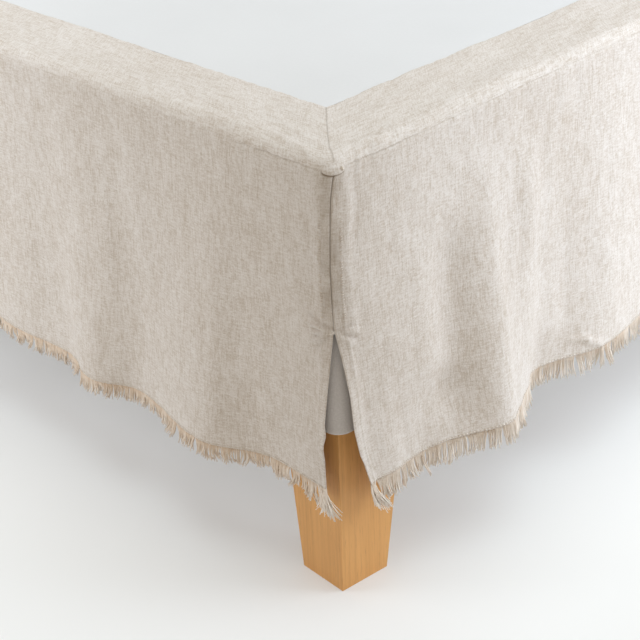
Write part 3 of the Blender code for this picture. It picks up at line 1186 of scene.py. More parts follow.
    def row(self, way: Array, down: float) -> tuple[Array, Array]:
        """One row of the outer face.

        Args:
            way: Distances along the side.
            down: Share of the drop, 0 at the seam and 1 at the hem.

        Returns:
            Points, and how much darker the cloth is there.
        """
        below = down * SIZES.drop
        along = self.path.from_foot(way)
        shift, flare = self.slit_draw(way, down)
        out = self.fold_out(along, down) + flare
        z = SIZES.seam_z - math.copysign(1.0, below) * np.sqrt(np.maximum(below**2 - out**2, 0))
        level = even(way, below)
        free = smooth(np.array(below / 0.020))
        relief = self.crinkle_size * self.crinkle.at(along, level)
        relief = relief + self.soft_size * self.soft.at(along, level)
        relief = relief * free + self.broad_size * free * down * self.broad.at(along, level)
        creased = sum((crease.at(along, level) for crease in self.creases), np.zeros_like(along))
        relief = relief + self.gathers.at(way, below) + creased
        # Painted shade in the creases' troughs.
        tone = self.crease_painted_shade * np.maximum(-creased, 0.0)
        for end, distance in enumerate((way, self.total - way)):
            if self.path.ends[end] is Corner.FOOT:
                band, dark = self.side_hem(distance, below)
                calm = smooth((distance - 0.004) / 0.012)
                star = self.tack_star(distance, below, end)
                relief = relief * calm + band + star
                # Painted shade of the side hem and of the crevice under the lip, with the dark
                # corner seam line.
                tone = tone + dark + self.under_lip(distance, below, end)
                # Painted shade in the puckers' troughs round the tack.
                tone = tone + self.pucker_painted_shade * np.maximum(-star, 0.0)
        relief = relief - self.seam_groove * math.exp(-((below / 0.0010) ** 2))
        relief = np.maximum(relief, -0.0014 - np.maximum(out, 0.0))
        beside = self.path.corner_distance(way)
        visible = 0.35 + 0.65 * smooth((beside - 0.010) / 0.015)
        visible = visible * (0.35 + 0.65 * bell(beside - 0.055, 0.035))
        tone = tone + self.seam_shade * visible * math.exp(-((below / 0.0008) ** 2))
        # Painted shade beside the corner, strongest in the hollow on the middle of the drop.
        inside = np.array([below - 0.020, 0.180 - below]) / 0.040
        hollow = float(np.prod(smooth(inside)))
        tone = tone + self.painted_corner_shade * (
            0.6 * bell(beside, 0.055) + 0.65 * hollow * bell(beside, 0.017)
        )
        points, outward, _ = self.path.place(way + shift)
        face = points + outward * (out - edge_inset(z) + relief)[:, None]
        face[:, 2] = z
        return face, tone

    def levels(self) -> Array:
        """Distances below the seam of the cloth's rows."""
        upper = np.concatenate(
            [np.linspace(0.0, 0.0062, 9), [0.0073, 0.0089, 0.0115, 0.0148]]
        )
        tack = SIZES.seam_z - SIZES.tack_z
        middle = np.linspace(0.0185, tack - 0.0145, 19)
        beside = np.linspace(tack - 0.0120, tack + 0.0120, 17)
        lower = np.linspace(tack + 0.0160, 0.2400, 24)
        lowest = np.linspace(0.2427, SIZES.drop, 10)
        return np.concatenate([upper, middle, beside, lower, lowest])

    def build(self) -> bpy.types.Object:
        """Makes the cloth."""
        gap = SIZES.seam_gap / 2
        reach = self.fine_reach
        way = graded(self.total - 2 * gap, 0.0023, 0.0047, reach) + gap
        if self.path.ends[0] is Corner.FOOT:
            way = np.concatenate([[gap, gap + 0.0006, gap + 0.0013], way[1:]])
        if self.path.ends[1] is Corner.FOOT:
            last = self.total - gap
            way = np.concatenate([way[:-1], [last - 0.0013, last - 0.0006, last]])
        rows = []
        for below in self.levels():
            face, tone = self.row(way, below / SIZES.drop)
            rows.append((face, ClothShell.flat(way, below), tone))
        return ClothShell.linen(f"drop_{self.path.name}_linen", rows, self.seed)

    def hem_frame(self, way: Array, below: float) -> tuple[Array, Array, Array, Array]:
        """Points on the cloth with their down, along and outward directions."""
        here, _ = self.row(way, below / SIZES.drop)
        above, _ = self.row(way, (below - 0.004) / SIZES.drop)
        aside, _ = self.row(way + 0.002, below / SIZES.drop)
        down, along = unit(here - above), unit(aside - here)
        return here, down, along, np.cross(down, along)


@dataclass
class BorderCloth:
    """Linen strip on top of one side of the base, turned over the edge to the seam.

    Args:
        path: Line of the side.
        creases: Creases laid on one by one, counted from the photographed corner.
        wander: Whether its mitre at the photographed corner strays, at start and end.
        seed: Seed of its fine relief.
        fine_reach: How far fine columns reach from its start and from its end.
        mitre_shade: How much darker the mitre line is.
    """

    path: SidePath
    creases: Sequence[Crease]
    wander: tuple[bool, bool]
    seed: int
    fine_reach: tuple[float, float]
    mitre_shade: float = 0.36

    def __post_init__(self) -> None:
        """Makes the relief's layers."""
        self.crumple = Crumple(self.seed, 0.030, 0.0095)
        self.soft = Crumple(self.seed + 1, 0.055, 0.026)
        self.gathers = GATHERS[self.path.name]
        self.scallop = Crumple(self.seed + 4, 0.016, 0.5)

    def section(self) -> list[tuple[float, float, float]]:
        """Rows of the strip: inset, height and the slope of its outward direction."""
        radius, top = SIZES.edge_radius, SIZES.top_z
        flat = [0.0, 0.0012, 0.0028, 0.005, 0.008, 0.012]
        insets = [SIZES.border_width - step for step in flat]
        insets += list(np.linspace(insets[-1] - 0.0045, radius + 0.002, 11))
        rows = [(inset, top, math.pi / 2) for inset in insets]
        lowest = math.asin((SIZES.seam_z - (top - radius)) / radius)
        for angle in np.linspace(math.pi / 2, lowest, 10):
            inset = radius - radius * math.cos(angle)
            rows.append((inset, top - radius + radius * math.sin(angle), float(angle)))
        return rows

    def build(self) -> bpy.types.Object:
        """Makes the strip."""
        outer = self.path.total()
        straight = graded(outer, 0.0026, 0.0056, self.fine_reach)
        share = straight / outer
        section = self.section()
        run = [0.0]
        for before, after in zip(section, section[1:]):
            run.append(run[-1] + math.hypot(after[0] - before[0], after[1] - before[1]))
        gap = SIZES.seam_gap / 4
        mitre = bell(self.path.corner_distance(straight), 0.0007)
        rows = []
        for (inset, z, angle), across in zip(section, run):
            way = gap + share * (self.path.total(inset) - 2 * gap)
            stray = 0.0055 * math.exp(-max(inset, 0.0) / 0.026)
            for wander, distance in zip(self.wander, (straight, outer - straight)):
                if wander:
                    way = way + stray * bell(distance, STRAY_REACH)
            points, outward, _ = self.path.place(way, inset)
            relief = self.relief(straight, across, run[-1])
            lift = angle * float(smooth(np.array((run[-1] - across) / 0.006)))
            normal = outward * math.cos(lift) + UP * math.sin(lift)
            face = points + UP * z + normal * relief[:, None]
            if inset > SIZES.border_width - 0.004:
                scallop = 0.0005 * self.scallop.at(straight, np.zeros_like(straight))
                face -= outward * scallop[:, None]
            tone = self.mitre_shade * mitre * (inset > 0.004)
            rows.append((face, ClothShell.flat(even(way, across), straight), tone))
        return ClothShell.linen(f"border_{self.path.name}_linen", rows, self.seed)

    def relief(self, way: Array, across: float, width: float) -> Array:
        """Height of the strip's crumples and puckers along one row.

        Args:
            way: Distances along the strip's outer line.
            across: Distance from the inner seam.
            width: Width of the strip.

        Returns:
            Height above the plain strip.
        """
        level = even(way, across)
        relief = 0.00050 * self.crumple.at(way, level) + 0.00085 * self.soft.at(way, level)
        relief = relief * smooth(np.array((width - across) / 0.012))
        from_foot = self.path.from_foot(way)
        for crease in self.creases:
            relief = relief + crease.at(from_foot, level - width)
        relief = relief * smooth((self.path.corner_distance(way) - 0.001) / 0.014)
        relief = relief + self.gathers.at(way, width - across)
        relief = relief + 0.5 * self.gathers.at(way, across)
        relief = relief - 0.00015 * math.exp(-(((width - across) / 0.0010) ** 2))
        relief = relief - 0.0003 * math.exp(-((across / 0.0010) ** 2))
        return np.maximum(relief, -0.0009)


@dataclass
class DeckCloth:
    """White cotton that lies on the base inside the border."""

    seed: int = 71
    step: float = 0.0155

    def build(self) -> bpy.types.Object:
        """Makes the cotton panel."""
        half = SIZES.half_width - SIZES.border_width - SIZES.seam_gap
        foot = SIZES.foot_y + SIZES.border_width + SIZES.seam_gap
        head = SIZES.head_y - SIZES.head_inset
        x = self.spread(-half, half)
        y = self.spread(foot, head)[::-1]
        across, up = np.meshgrid(x, y)
        soft = Crumple(self.seed, 0.140, 0.190)
        fine = Crumple(self.seed + 1, 0.045, 0.060)
        edge = np.minimum(
            np.minimum(across + half, half - across), np.minimum(up - foot, head - up)
        )
        calm = smooth(edge / 0.012)
        relief = 0.0007 + 0.0005 * soft.at(across, up) + 0.0002 * fine.at(across, up)
        height = SIZES.base_top + SIZES.cotton + 0.0002 + relief * calm
        face = np.stack([across, up, height], axis=2)
        place = ClothShell.flat(across, up) + UP * self.seed
        tone = np.zeros_like(up)
        return ClothShell("deck_cotton", face, place, tone, SIZES.cotton, COTTON).build()

    def spread(self, low: float, high: float) -> Array:
        """Even places with two closer ones at each edge."""
        count = round((high - low) / self.step)
        inner = np.linspace(low + 0.012, high - 0.012, count)
        return np.concatenate([[low, low + 0.003], inner, [high - 0.003, high]])


@dataclass
class StrandSet:
    """Many thin strands, each a bent tube: yarns of a fringe, or stitches.

    Args:
        root: Where each strand starts.
        reach: From its start to its end, before it is bent.
        curl: Bend that grows towards its end.
        bow: How far its middle is lifted.
        sway: Direction and size of its waves.
        side: One direction across it.
        other: Another direction across it.
        girth: Its radius.
        tone: Its tone from dark to light.
        phase: Where its waves start.
    """

    root: Array
    reach: Array
    curl: Array
    bow: Array
    sway: Array
    side: Array
    other: Array
    girth: Array
    tone: Array
    phase: Array

    @classmethod
    def straight(cls, root: Array, reach: Array, side: Array, girth: float) -> "StrandSet":
        """Strands with no bend yet."""
        bends = [np.zeros_like(root) for _ in range(3)]
        numbers = [np.full(len(root), value) for value in (girth, 0.5, 0.0)]
        return cls(root, reach, *bends, side, unit(np.cross(reach, side)), *numbers)

    @classmethod
    def joined(cls, sets: Sequence["StrandSet"]) -> "StrandSet":
        """All strands of several sets."""
        return cls(
            *(np.concatenate([getattr(one, key.name) for one in sets]) for key in fields(cls))
        )

    def build(
        self, name: str, finish: Finish, sides: int, bends: int, waves: float, taper: float
    ) -> bpy.types.Object:
        """Makes the strands as one plain mesh.

        Args:
            name: Name of the piece.
            finish: Their finish.
            sides: Faces round a strand.
            bends: Faces along a strand.
            waves: Waves along a strand.
            taper: How much thinner a strand is at its end.

        Returns:
            The piece.
        """
        mesh = bpy.data.meshes.new(f"{name}_roots")
        mesh.from_pydata(self.root.tolist(), [], [])
        for key in fields(self):
            carry(mesh, f"strand_{key.name}", getattr(self, key.name))
        carrier = hang(mesh.name, mesh)
        tree = strand_tree()
        modifier = carrier.modifiers.new("strands", "NODES")
        modifier.node_group = tree
        sizes = {
            "Sides": sides,
            "Bends": bends,
            "Waves": waves,
            "Taper": taper,
            "Finish": finish.material(),
        }
        for item in tree.interface.items_tree:
            if item.item_type == "SOCKET" and item.in_out == "INPUT" and item.name in sizes:
                modifier[item.identifier] = sizes[item.name]
        graph = bpy.context.evaluated_depsgraph_get()
        plain = bpy.data.meshes.new_from_object(carrier.evaluated_get(graph))
        plain.name = name
        bpy.data.objects.remove(carrier, do_unlink=True)
        kept = ("strand_tone", "strand_along")
        for layer in [item.name for item in plain.attributes]:
            if layer.startswith("strand_") and layer not in kept:
                plain.attributes.remove(plain.attributes[layer])
        return link(plain, name, finish)


def strand_tree() -> bpy.types.NodeTree:
    """Geometry nodes that turn each point into a bent, tapered strand."""
    found = bpy.data.node_groups.get("bent_strands")
    if found is not None:
        return found
    tree = bpy.data.node_groups.new("bent_strands", "GeometryNodeTree")
    for name, kind, way in (
        ("Roots", "Geometry", "INPUT"),
        ("Sides", "Int", "INPUT"),
        ("Bends", "Int", "INPUT"),
        ("Waves", "Float", "INPUT"),
        ("Taper", "Float", "INPUT"),
        ("Finish", "Material", "INPUT"),
        ("Strands", "Geometry", "OUTPUT"),
    ):
        tree.interface.new_socket(name, in_out=way, socket_type=f"NodeSocket{kind}")
    bench = NodeBench(tree)
    given = bench.add("NodeGroupInput")
    result = bench.add("NodeGroupOutput")

    def named(name: str, vector: bool = False) -> Wire:
        """A value that each strand carries."""
        kind = "FLOAT_VECTOR" if vector else "FLOAT"
        node = bench.add(
            "GeometryNodeInputNamedAttribute", {"data_type": kind}, {"Name": f"strand_{name}"}
        )
        return Wire(bench, bench.find(node.outputs, "Attribute"), vector)

    def shape(kind: str, inputs: dict, **settings: str) -> bpy.types.NodeSocket:
        """First output of a node that makes or changes geometry."""
        return bench.add(f"GeometryNode{kind}", settings, inputs).outputs[0]

    sizes = {"Vertices": given.outputs["Sides"], "Side Segments": given.outputs["Bends"]}
    tube = shape("MeshCylinder", {**sizes, "Radius": 1.0, "Depth": 1.0}, fill_type="NGON")
    ring = {"Geometry": tube, "Name": "strand_ring", "Value": shape("InputPosition", {})}
    kept = shape("StoreNamedAttribute", ring, data_type="FLOAT_VECTOR", domain="POINT")
    spread = shape("InstanceOnPoints", {"Points": given.outputs["Roots"], "Instance": kept})
    real = shape("RealizeInstances", {"Geometry": spread})
    ring_x, ring_y, ring_z = named("ring", True).parts()
    along = ring_z + 0.5
    waves = Wire(bench, given.outputs["Waves"])
    taper = Wire(bench, given.outputs["Taper"])
    turn = (along * waves * (2.0 * math.pi) + named("phase")).sine() * along
    girth = named("girth") * (1.0 - taper * along)
    place = named("root", True)
    for name, share in (
        ("reach", along),
        ("curl", along * along),
        ("bow", along * (1.0 - along) * 4.0),
        ("sway", turn),
        ("side", ring_x * girth),
        ("other", ring_y * girth),
    ):
        place = place + named(name, True) * share
    moved = shape("SetPosition", {"Geometry": real, "Position": place})
    note = {"Geometry": moved, "Name": "strand_along", "Value": along}
    noted = shape("StoreNamedAttribute", note, data_type="FLOAT", domain="POINT")
    rounded = shape("SetShadeSmooth", {0: noted})
    dressed = shape("SetMaterial", {"Geometry": rounded, "Material": given.outputs["Finish"]})
    bench.feed(result.inputs["Strands"], dressed)
    return tree


# Paleness and length of each side's fringe; the paleness paints light on the right fringe and
# shade on the foot one.
FRINGES = {"left": (0.40, 0.0142), "foot": (0.05, 0.0136), "right": (0.80, 0.0188)}


@dataclass
class Fringe:
    """Loose yarns below the hem of one drop.

    Args:
        drop: The drop that it hangs from.
        seed: Seed of its unevenness.
        paleness: Usual tone of a yarn, set for each side as painted light and shade.
        length: Usual length of a yarn.
        pitch: Distance between two yarns.
        girth: Radius of a yarn.
        lock_width: Least and most width of a lock.
        tail_yarns: Number of yarns in the tuft beside a slit.
        tail_sweep: How far that tuft's tips are drawn along, at the start and at the end.
        tail_stretch: How much longer it is than usual, at the start and at the end.
    """

    drop: DropCloth
    seed: int
    paleness: float
    length: float
    pitch: float = 0.00060
    girth: float = 0.00062
    lock_width: tuple[float, float] = (0.0035, 0.0085)
    tail_yarns: int = 60
    tail_sweep: tuple[tuple[float, float], ...] = ((-0.0030, 0.0115), (-0.0085, 0.0125))
    tail_stretch: tuple[float, float] = (1.30, 0.95)

    def build(self) -> bpy.types.Object:
        """Makes the yarns, drawn together into uneven locks."""
        rng = np.random.default_rng(self.seed)
        total = self.drop.total
        count = int(total / self.pitch)
        way = (np.arange(count) + 0.5) * self.pitch + rng.uniform(-0.3, 0.3, count) * self.pitch
        way = np.clip(way, 0.0005, total - 0.0025)
        edges = [0.0]
        while edges[-1] < total:
            edges.append(edges[-1] + rng.uniform(*self.lock_width))
        edges = np.array(edges)
        lock = np.searchsorted(edges, way) - 1
        middle = (edges[lock] + edges[lock + 1]) / 2
        corner = self.drop.path.corner_distance(way)
        loose, beside = bell(corner, 0.045), bell(corner, 0.024)

        def each_lock(usual: float, change: float) -> Array:
            """One drawn number for each lock, at its yarns."""
            return rng.normal(usual, change, len(edges))[lock]

        def each_yarn(direction: Array, usual: Array | float, change: float) -> Array:
            """Arrows of one direction with a drawn length for each yarn."""
            return direction * (usual + rng.normal(0.0, change, count))[:, None]

        lean = each_lock(0.0, 0.0013) * (1.0 + 1.2 * loose)
        lift = each_lock(0.0004, 0.0018)
        longer = each_lock(0.0, 0.0010) + 0.0022 * loose + 0.0042 * beside
        gather = rng.uniform(-0.08, 0.14, len(edges))[lock] + 0.46 * loose
        bend = each_lock(0.0, 0.0011) * (1.0 + loose)
        root, down, along, outward = self.drop.hem_frame(way, SIZES.drop - 0.0006)
        root = root - outward * (SIZES.linen / 2)
        fall = unit(down * 0.75 - UP * 0.25)
        reach = each_yarn(fall, self.length + longer, 0.0010)
        strands = StrandSet.straight(root, reach, along, self.girth)
        strands.curl = each_yarn(along, (middle - way) * gather + lean, 0.0007)
        strands.curl += each_yarn(outward, lift, 0.0010)
        strands.bow = each_yarn(along, bend, 0.0003)
        strands.sway = each_yarn(along, 0.0, 0.00045) + each_yarn(outward, 0.0, 0.00040)
        strands.girth *= rng.uniform(0.75, 1.25, count)
        shade = rng.uniform(-0.25, 0.25, len(edges))[lock]
        # The side's paleness is painted light and shade on the yarns.
        tone = rng.normal(self.paleness, 0.28, count) + shade + 0.25 * loose + 0.30 * beside
        strands.tone = np.clip(tone, 0.0, 1.0)
        strands.phase = rng.uniform(0.0, 2.0 * math.pi, count)
        parts = [strands]
        for slit, *corner_of in zip(
            self.drop.slits, (0.0, total), (1.0, -1.0), self.tail_sweep, self.tail_stretch
        ):
            if slit is not None:
                parts.append(self.tail(rng, *corner_of))
        name = f"fringe_{self.drop.path.name}_yarns"
        return StrandSet.joined(parts).build(
            name, FRINGE_YARN, sides=3, bends=4, waves=1.2, taper=0.35
        )

    def tail(
        self,
        rng: np.random.Generator,
        end: float,
        sign: float,
        sweep: tuple[float, float],
        stretch: float,
    ) -> StrandSet:
        """Longer tuft at the free corner beside a slit, splayed at its tips.

        Args:
            rng: Source of its unevenness.
            end: Where the cloth's edge is.
            sign: Direction from the edge into the cloth.
            sweep: Least and most that the tips are drawn along the side.
            stretch: How much longer it is than usual.

        Returns:
            The yarns of the tuft.
        """
        count = self.tail_yarns
        way = end + sign * rng.uniform(0.0003, 0.0065, count)
        root, down, along, outward = self.drop.hem_frame(way, SIZES.drop - 0.001)
        root = root - outward * (SIZES.linen / 2) + outward * rng.normal(0, 0.0004, count)[:, None]
        length = rng.uniform(0.019, 0.0265, count) * stretch
        tuft = StrandSet.straight(root, down * length[:, None], along, self.girth * 0.9)
        locks = rng.uniform(*sweep, 6)
        splay = locks[rng.integers(0, 6, count)] + rng.normal(0.0, 0.0009, count)
        tuft.curl = along * splay[:, None] + outward * rng.normal(0.001, 0.002, count)[:, None]
        tuft.sway = along * rng.normal(0.0, 0.0008, count)[:, None]
        tuft.tone = np.clip(rng.normal(0.8, 0.2, count), 0.0, 1.0)
        tuft.phase = rng.uniform(0.0, 2.0 * math.pi, count)
        return tuft


@dataclass
class Stitching:
    """Sewing of one drop: the line above the fringe and those of the side hems.

    Args:
        drop: The drop that is sewn.
        seed: Seed of its unevenness.
        stitch: Length of a stitch.
        pitch: Distance from a stitch of the hem line to the next.
        side_pitch: The same for the side hems.
        left_out: Share of the side hems' stitches that don't show.
        girth: Radius of the thread.
    """

    drop: DropCloth
    seed: int
    stitch: float = 0.0022
    pitch: float = 0.0029
    side_pitch: float = 0.0020
    left_out: float = 0.25
    girth: float = 0.00030

    def run(
        self, root: Array, step: Array, outward: Array, rng: np.random.Generator, tone: float
    ) -> StrandSet:
        """Stitches of about one tone that lie on the cloth along a line."""
        start = root + outward * 0.00012 - step * (self.stitch / 2)
        row = StrandSet.straight(start, step * self.stitch, outward, self.girth)
        row.bow = outward * 0.00016
        row.tone = np.clip(rng.normal(tone, 0.15, len(root)), 0.0, 1.0)
        return row

    def build(self) -> bpy.types.Object:
        """Makes the stitches of the hem line and the side hems."""
        rng = np.random.default_rng(self.seed)
        total = self.drop.total
        count = int((total - 0.006) / self.pitch)
        way = 0.003 + (np.arange(count) + 0.5) * self.pitch
        here, _, along, outward = self.drop.hem_frame(way, SIZES.drop - 0.0014)
        rows = [self.run(here, along, outward, rng, 0.42)]
        for end, edge, sign in zip(self.drop.path.ends, (0.0, total), (1.0, -1.0)):
            if end is Corner.FOOT:
                rows.append(self.side_row(edge, sign, rng))
        name = f"stitches_{self.drop.path.name}"
        return StrandSet.joined(rows).build(name, SEWING_THREAD, 4, 2, 0.0, 0.0)

    def side_row(self, edge: float, sign: float, rng: np.random.Generator) -> StrandSet:
        """Short stitches across the edge of a side hem, one below the other."""
        place = edge + sign * (self.drop.hem_band + 0.0002)
        levels = np.arange(0.038, SIZES.seam_z - SIZES.tack_z - 0.008, self.side_pitch)
        levels = levels[rng.random(len(levels)) > self.left_out]
        frames = [self.drop.hem_frame(np.array([place]), below) for below in levels]
        here, _, along, outward = (np.concatenate(part) for part in zip(*frames))
        row = self.run(here, along, outward, rng, 0.46)
        row.girth *= 0.72
        return row


@dataclass
class CornerDetail:
    """Lip over a foot corner's seam and the bar tack at the top of its slit.

    Args:
        name: Name of the corner.
        path: Side that starts or ends there.
        way: Where the corner's middle is on that side.
        stray: How far the lip stands to the right of it.
        seed: Seed of its unevenness.
        width: Width of the lip.
        profile: Heights above the seam and bulges of the lip's middle, from top to bottom.
    """

    name: str
    path: SidePath
    way: float
    stray: float
    seed: int
    width: float = 0.0176
    profile: tuple[tuple[float, float], ...] = (
        (0.0034, 0.00000),
        (0.0022, 0.00016),
        (0.0010, 0.00040),
        (0.0000, 0.00062),
        (-0.0014, 0.00082),
        (-0.0026, 0.00090),
        (-0.0036, 0.00084),
        (-0.0043, 0.00056),
        (-0.0045, 0.00010),
        (-0.0044, -0.00050),
    )

    def lip(self) -> bpy.types.Object:
        """Small half-moon fold of the border that bulges over the corner seam."""
        share = np.linspace(-1.0, 1.0, 27)
        way = self.way + self.stray + share * self.width / 2
        size = np.sqrt(np.maximum(1.0 - share**2, 0.0004))
        rows = []
        for height, out in self.profile:
            z = SIZES.seam_z + np.where(height > 0, height * size, (height + 0.0006) * size)
            z = z - 0.0006 * (height <= 0)
            points, outward, _ = self.path.place(way)
            lift = 0.00010 + out * size - edge_inset(z)
            row = points + outward * lift[:, None]
            row[:, 2] = z
            rows.append(row)
        face = np.array(rows)
        place = ClothShell.flat(share * self.width / 2, SIZES.seam_z - face[:, :, 2]) + self.seed
        tone = np.zeros(face.shape[:2])
        # The lip's lowest rows get painted shade, that of the crevice under it.
        tone[-3:] = ((0.25,), (0.80,), (0.95,))  # the crevice under the lip
        return ClothShell(f"lip_{self.name}", face, place, tone, SIZES.linen / 2).build()

    def frame_at(self, way: float) -> tuple[Array, Array, Array]:
        """Point on the side's line, its outward direction and its running direction."""
        point, outward, run = self.path.place(np.array([way]))
        return point[0], outward[0], run[0]

    def tack(self) -> bpy.types.Object:
        """Bar of thread across the corner seam, and the knot at the end of the lip."""
        rng = np.random.default_rng(self.seed)
        point, outward, run = self.frame_at(self.way)
        count = 9
        rows = []
        for level in np.linspace(SIZES.tack_z - 0.0038, SIZES.tack_z - 0.0016, count):
            start = point + UP * level - run * (0.0042 + rng.uniform(0.0, 0.0010))
            reach = run * (0.0044 + rng.uniform(0.0, 0.0010)) + UP * rng.uniform(-0.0007, 0.0007)
            rows.append((start + outward * 0.0006, reach))
        root, reach = (np.array(part) for part in zip(*rows))
        side = np.tile(outward, (count, 1))
        bar = StrandSet.straight(root, reach, side, 0.00038)
        bar.bow = side * 0.0006
        bar.tone = rng.uniform(0.7, 1.0, count)
        joined = StrandSet.joined([bar, self.knot(rng)])
        return joined.build(f"tack_{self.name}", SEWING_THREAD, 5, 5, 0.0, 0.0)

    def knot(self, rng: np.random.Generator) -> StrandSet:
        """Small knot of thread at the right end of the lip."""
        count = 12
        point, outward, run = self.frame_at(self.way + self.stray + 0.36 * self.width)
        turn = rng.normal(-0.7, 0.5, count)[:, None]
        length = rng.uniform(0.0022, 0.0034, count)[:, None]
        reach = (run * np.cos(turn) + UP * np.sin(turn)) * length
        middle = point + UP * (SIZES.seam_z - 0.0008) + outward * 0.0002
        side = np.tile(outward, (count, 1))
        loops = StrandSet.straight(middle - reach / 2, reach, side, 0.00032)
        loops.bow = side * rng.uniform(0.0003, 0.0008, count)[:, None]
        loops.tone = rng.uniform(0.1, 0.8, count)
        return loops


@dataclass
class BedBase:
    """Plain upholstered base that carries the skirt.

    Args:
        inset: How far it stands in from the skirt's outer line.
        top_radius: Radius of its upper edges.
        bottom_radius: Radius of its lower edges.
    """

    inset: float = 0.0035
    top_radius: float = 0.010
    bottom_radius: float = 0.004

    def build(self) -> bpy.types.Object:
        """Makes the padded block with its rounded corners and edges."""
        low = (self.inset - HALF, FOOT_Y + self.inset, SIZES.base_bottom)
        high = (HALF - self.inset, HEAD_Y - self.inset, SIZES.base_top)

        def corner(share: Vector) -> list[float]:
            """Where one corner of the block is."""
            return [low[i] + (high[i] - low[i]) * (share[i] + 0.5) for i in range(3)]

        mesh = shaped_box(corner)
        upright = [e for e in mesh.edges if abs(e.verts[0].co.z - e.verts[1].co.z) > 0.1]
        soften(mesh, upright, SIZES.corner_radius - self.inset, 12)
        for level, radius in ((high[2], self.top_radius), (low[2], self.bottom_radius)):
            rim = [e for e in mesh.edges if all(abs(v.co.z - level) < 1e-5 for v in e.verts)]
            soften(mesh, rim, radius, 7)
        return finished(mesh, "base_cover", UPHOLSTERY)


@dataclass
class Leg:
    """Square beech leg that tapers on its inner faces.

    Args:
        name: Name of its solid.
        side: 1 on the right, -1 on the left.
        end: 1 at the head, -1 at the foot.
        turn: How far it is screwed round past square.
        lean: How far its top stands off its foot.
        height: Its height.
        top: Its width at the top.
        bottom: Its width at the floor.
        inset_top: How far its top stands in from the bed's outer line.
        inset_bottom: The same at the floor.
        rounding: Radius of its edges.
    """

    name: str
    side: int
    end: int
    turn: float = 0.0
    lean: tuple[float, float] = (0.0, 0.0)
    height: float = 0.150
    top: float = 0.068
    bottom: float = 0.048
    inset_top: float = 0.0115
    inset_bottom: float = 0.0125
    rounding: float = 0.0005

    def build(self) -> bpy.types.Object:
        """Makes the leg with softened edges."""
        mesh = shaped_box(self.corner)
        middle = self.inset_bottom + self.bottom / 2
        bmesh.ops.rotate(
            mesh,
            cent=(self.side * (HALF - middle), self.end_y - self.end * middle, 0.0),
            matrix=Matrix.Rotation(self.turn, 3, "Z"),
            verts=mesh.verts,
        )
        soften(mesh, list(mesh.edges), self.rounding, 4)
        bmesh.ops.recalc_face_normals(mesh, faces=mesh.faces)
        return finished(mesh, f"{self.name}_wood", BEECH)

    @property
    def end_y(self) -> float:
        """Where the bed ends on the leg's side."""
        return HEAD_Y if self.end > 0 else FOOT_Y

    def corner(self, share: Vector) -> tuple[float, float, float]:
        """Where one corner of the leg is."""
        if share.z > 0:
            width, inset, z, lean = self.top, self.inset_top, self.height, self.lean
        else:
            width, inset, z, lean = self.bottom, self.inset_bottom, 0.0, (0.0, 0.0)
        x = inset + (0.0 if share.x * self.side > 0 else width)
        y = inset + (0.0 if share.y * self.end > 0 else width)
        return self.side * (HALF - x) + lean[0], self.end_y - self.end * y + lean[1], z


@dataclass
class Skirt:
    """The whole skirt: deck, borders, drops, fringes and sewing."""

    def drops(self) -> tuple[DropCloth, ...]:
        """The three drops, with their folds and slits."""
        left, foot, right = (
            FoldRule(phase).continue_to(seen, path.length)
            for phase, seen, path in (
                (0.7, LEFT_FOLDS, LEFT),
                (2.9, FOOT_FOLDS, FOOT),
                (4.4, RIGHT_FOLDS, RIGHT),
            )
        )
        foot_slits = PLAIN_SLIT, FOOT_SLIT
        return (
            DropCloth(LEFT, left, (None, PLAIN_SLIT), (), (False, False), 11, (0.0, 0.10)),
            DropCloth(FOOT, foot, foot_slits, FOOT_CREASES, (False, True), 23, (0.06, 0.46)),
            DropCloth(
                RIGHT,
                right,
                (RIGHT_SLIT, None),
                RIGHT_CREASES,
                (True, False),
                37,
                (0.42, 0.0),
                hem_painted_shade=0.12,
                seam_shade=0.60,
                seam_groove=0.00035,
            ),
        )

    def build(self) -> None:
        """Makes, dresses and registers every piece of the skirt."""
        deck = DeckCloth().build()
        register(deck, "cotton", "deck")
        lips: dict[str, list[bpy.types.Object]] = {"left": [], "foot": [], "right": []}
        for detail in table(
            CornerDetail,
            ("foot_right", FOOT, FOOT.total(), 0.0045, 5),
            ("foot_left", LEFT, LEFT.total(), -0.0005, 6),
        ):
            lip = detail.lip()
            register(lip, "linen")
            lips[detail.path.name].append(lip)
            register(detail.tack(), "linen")
        for drop, seed in zip(self.drops(), (51, 61, 81)):
            self.side(drop, seed, lips[drop.path.name])

    def side(self, drop: DropCloth, seed: int, lips: list[bpy.types.Object]) -> None:
        """Makes, dresses and registers the pieces of one side.

        Args:
            drop: Its drop.
            seed: Seed of its border's relief, and the first of its fringe's and stitches'.
            lips: Corner lips that go with its border; not used.
        """
        path = drop.path
        strip = BorderCloth(path, drop.creases, drop.wander, seed, drop.fine_reach).build()
        register(strip, "linen", f"border_{path.name}")
        flat = (SIZES.border_width + SIZES.edge_radius, path.total())
        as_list(lips)
        cloth = drop.build()
        register(cloth, "linen", f"drop_{path.name}")
        fringe = Fringe(drop, seed + 7, *FRINGES[path.name]).build()
        register(fringe, "fringe", f"fringe_{path.name}")
        sewing = Stitching(drop, seed + 8).build()
        register(sewing, "fringe")
        path.total()


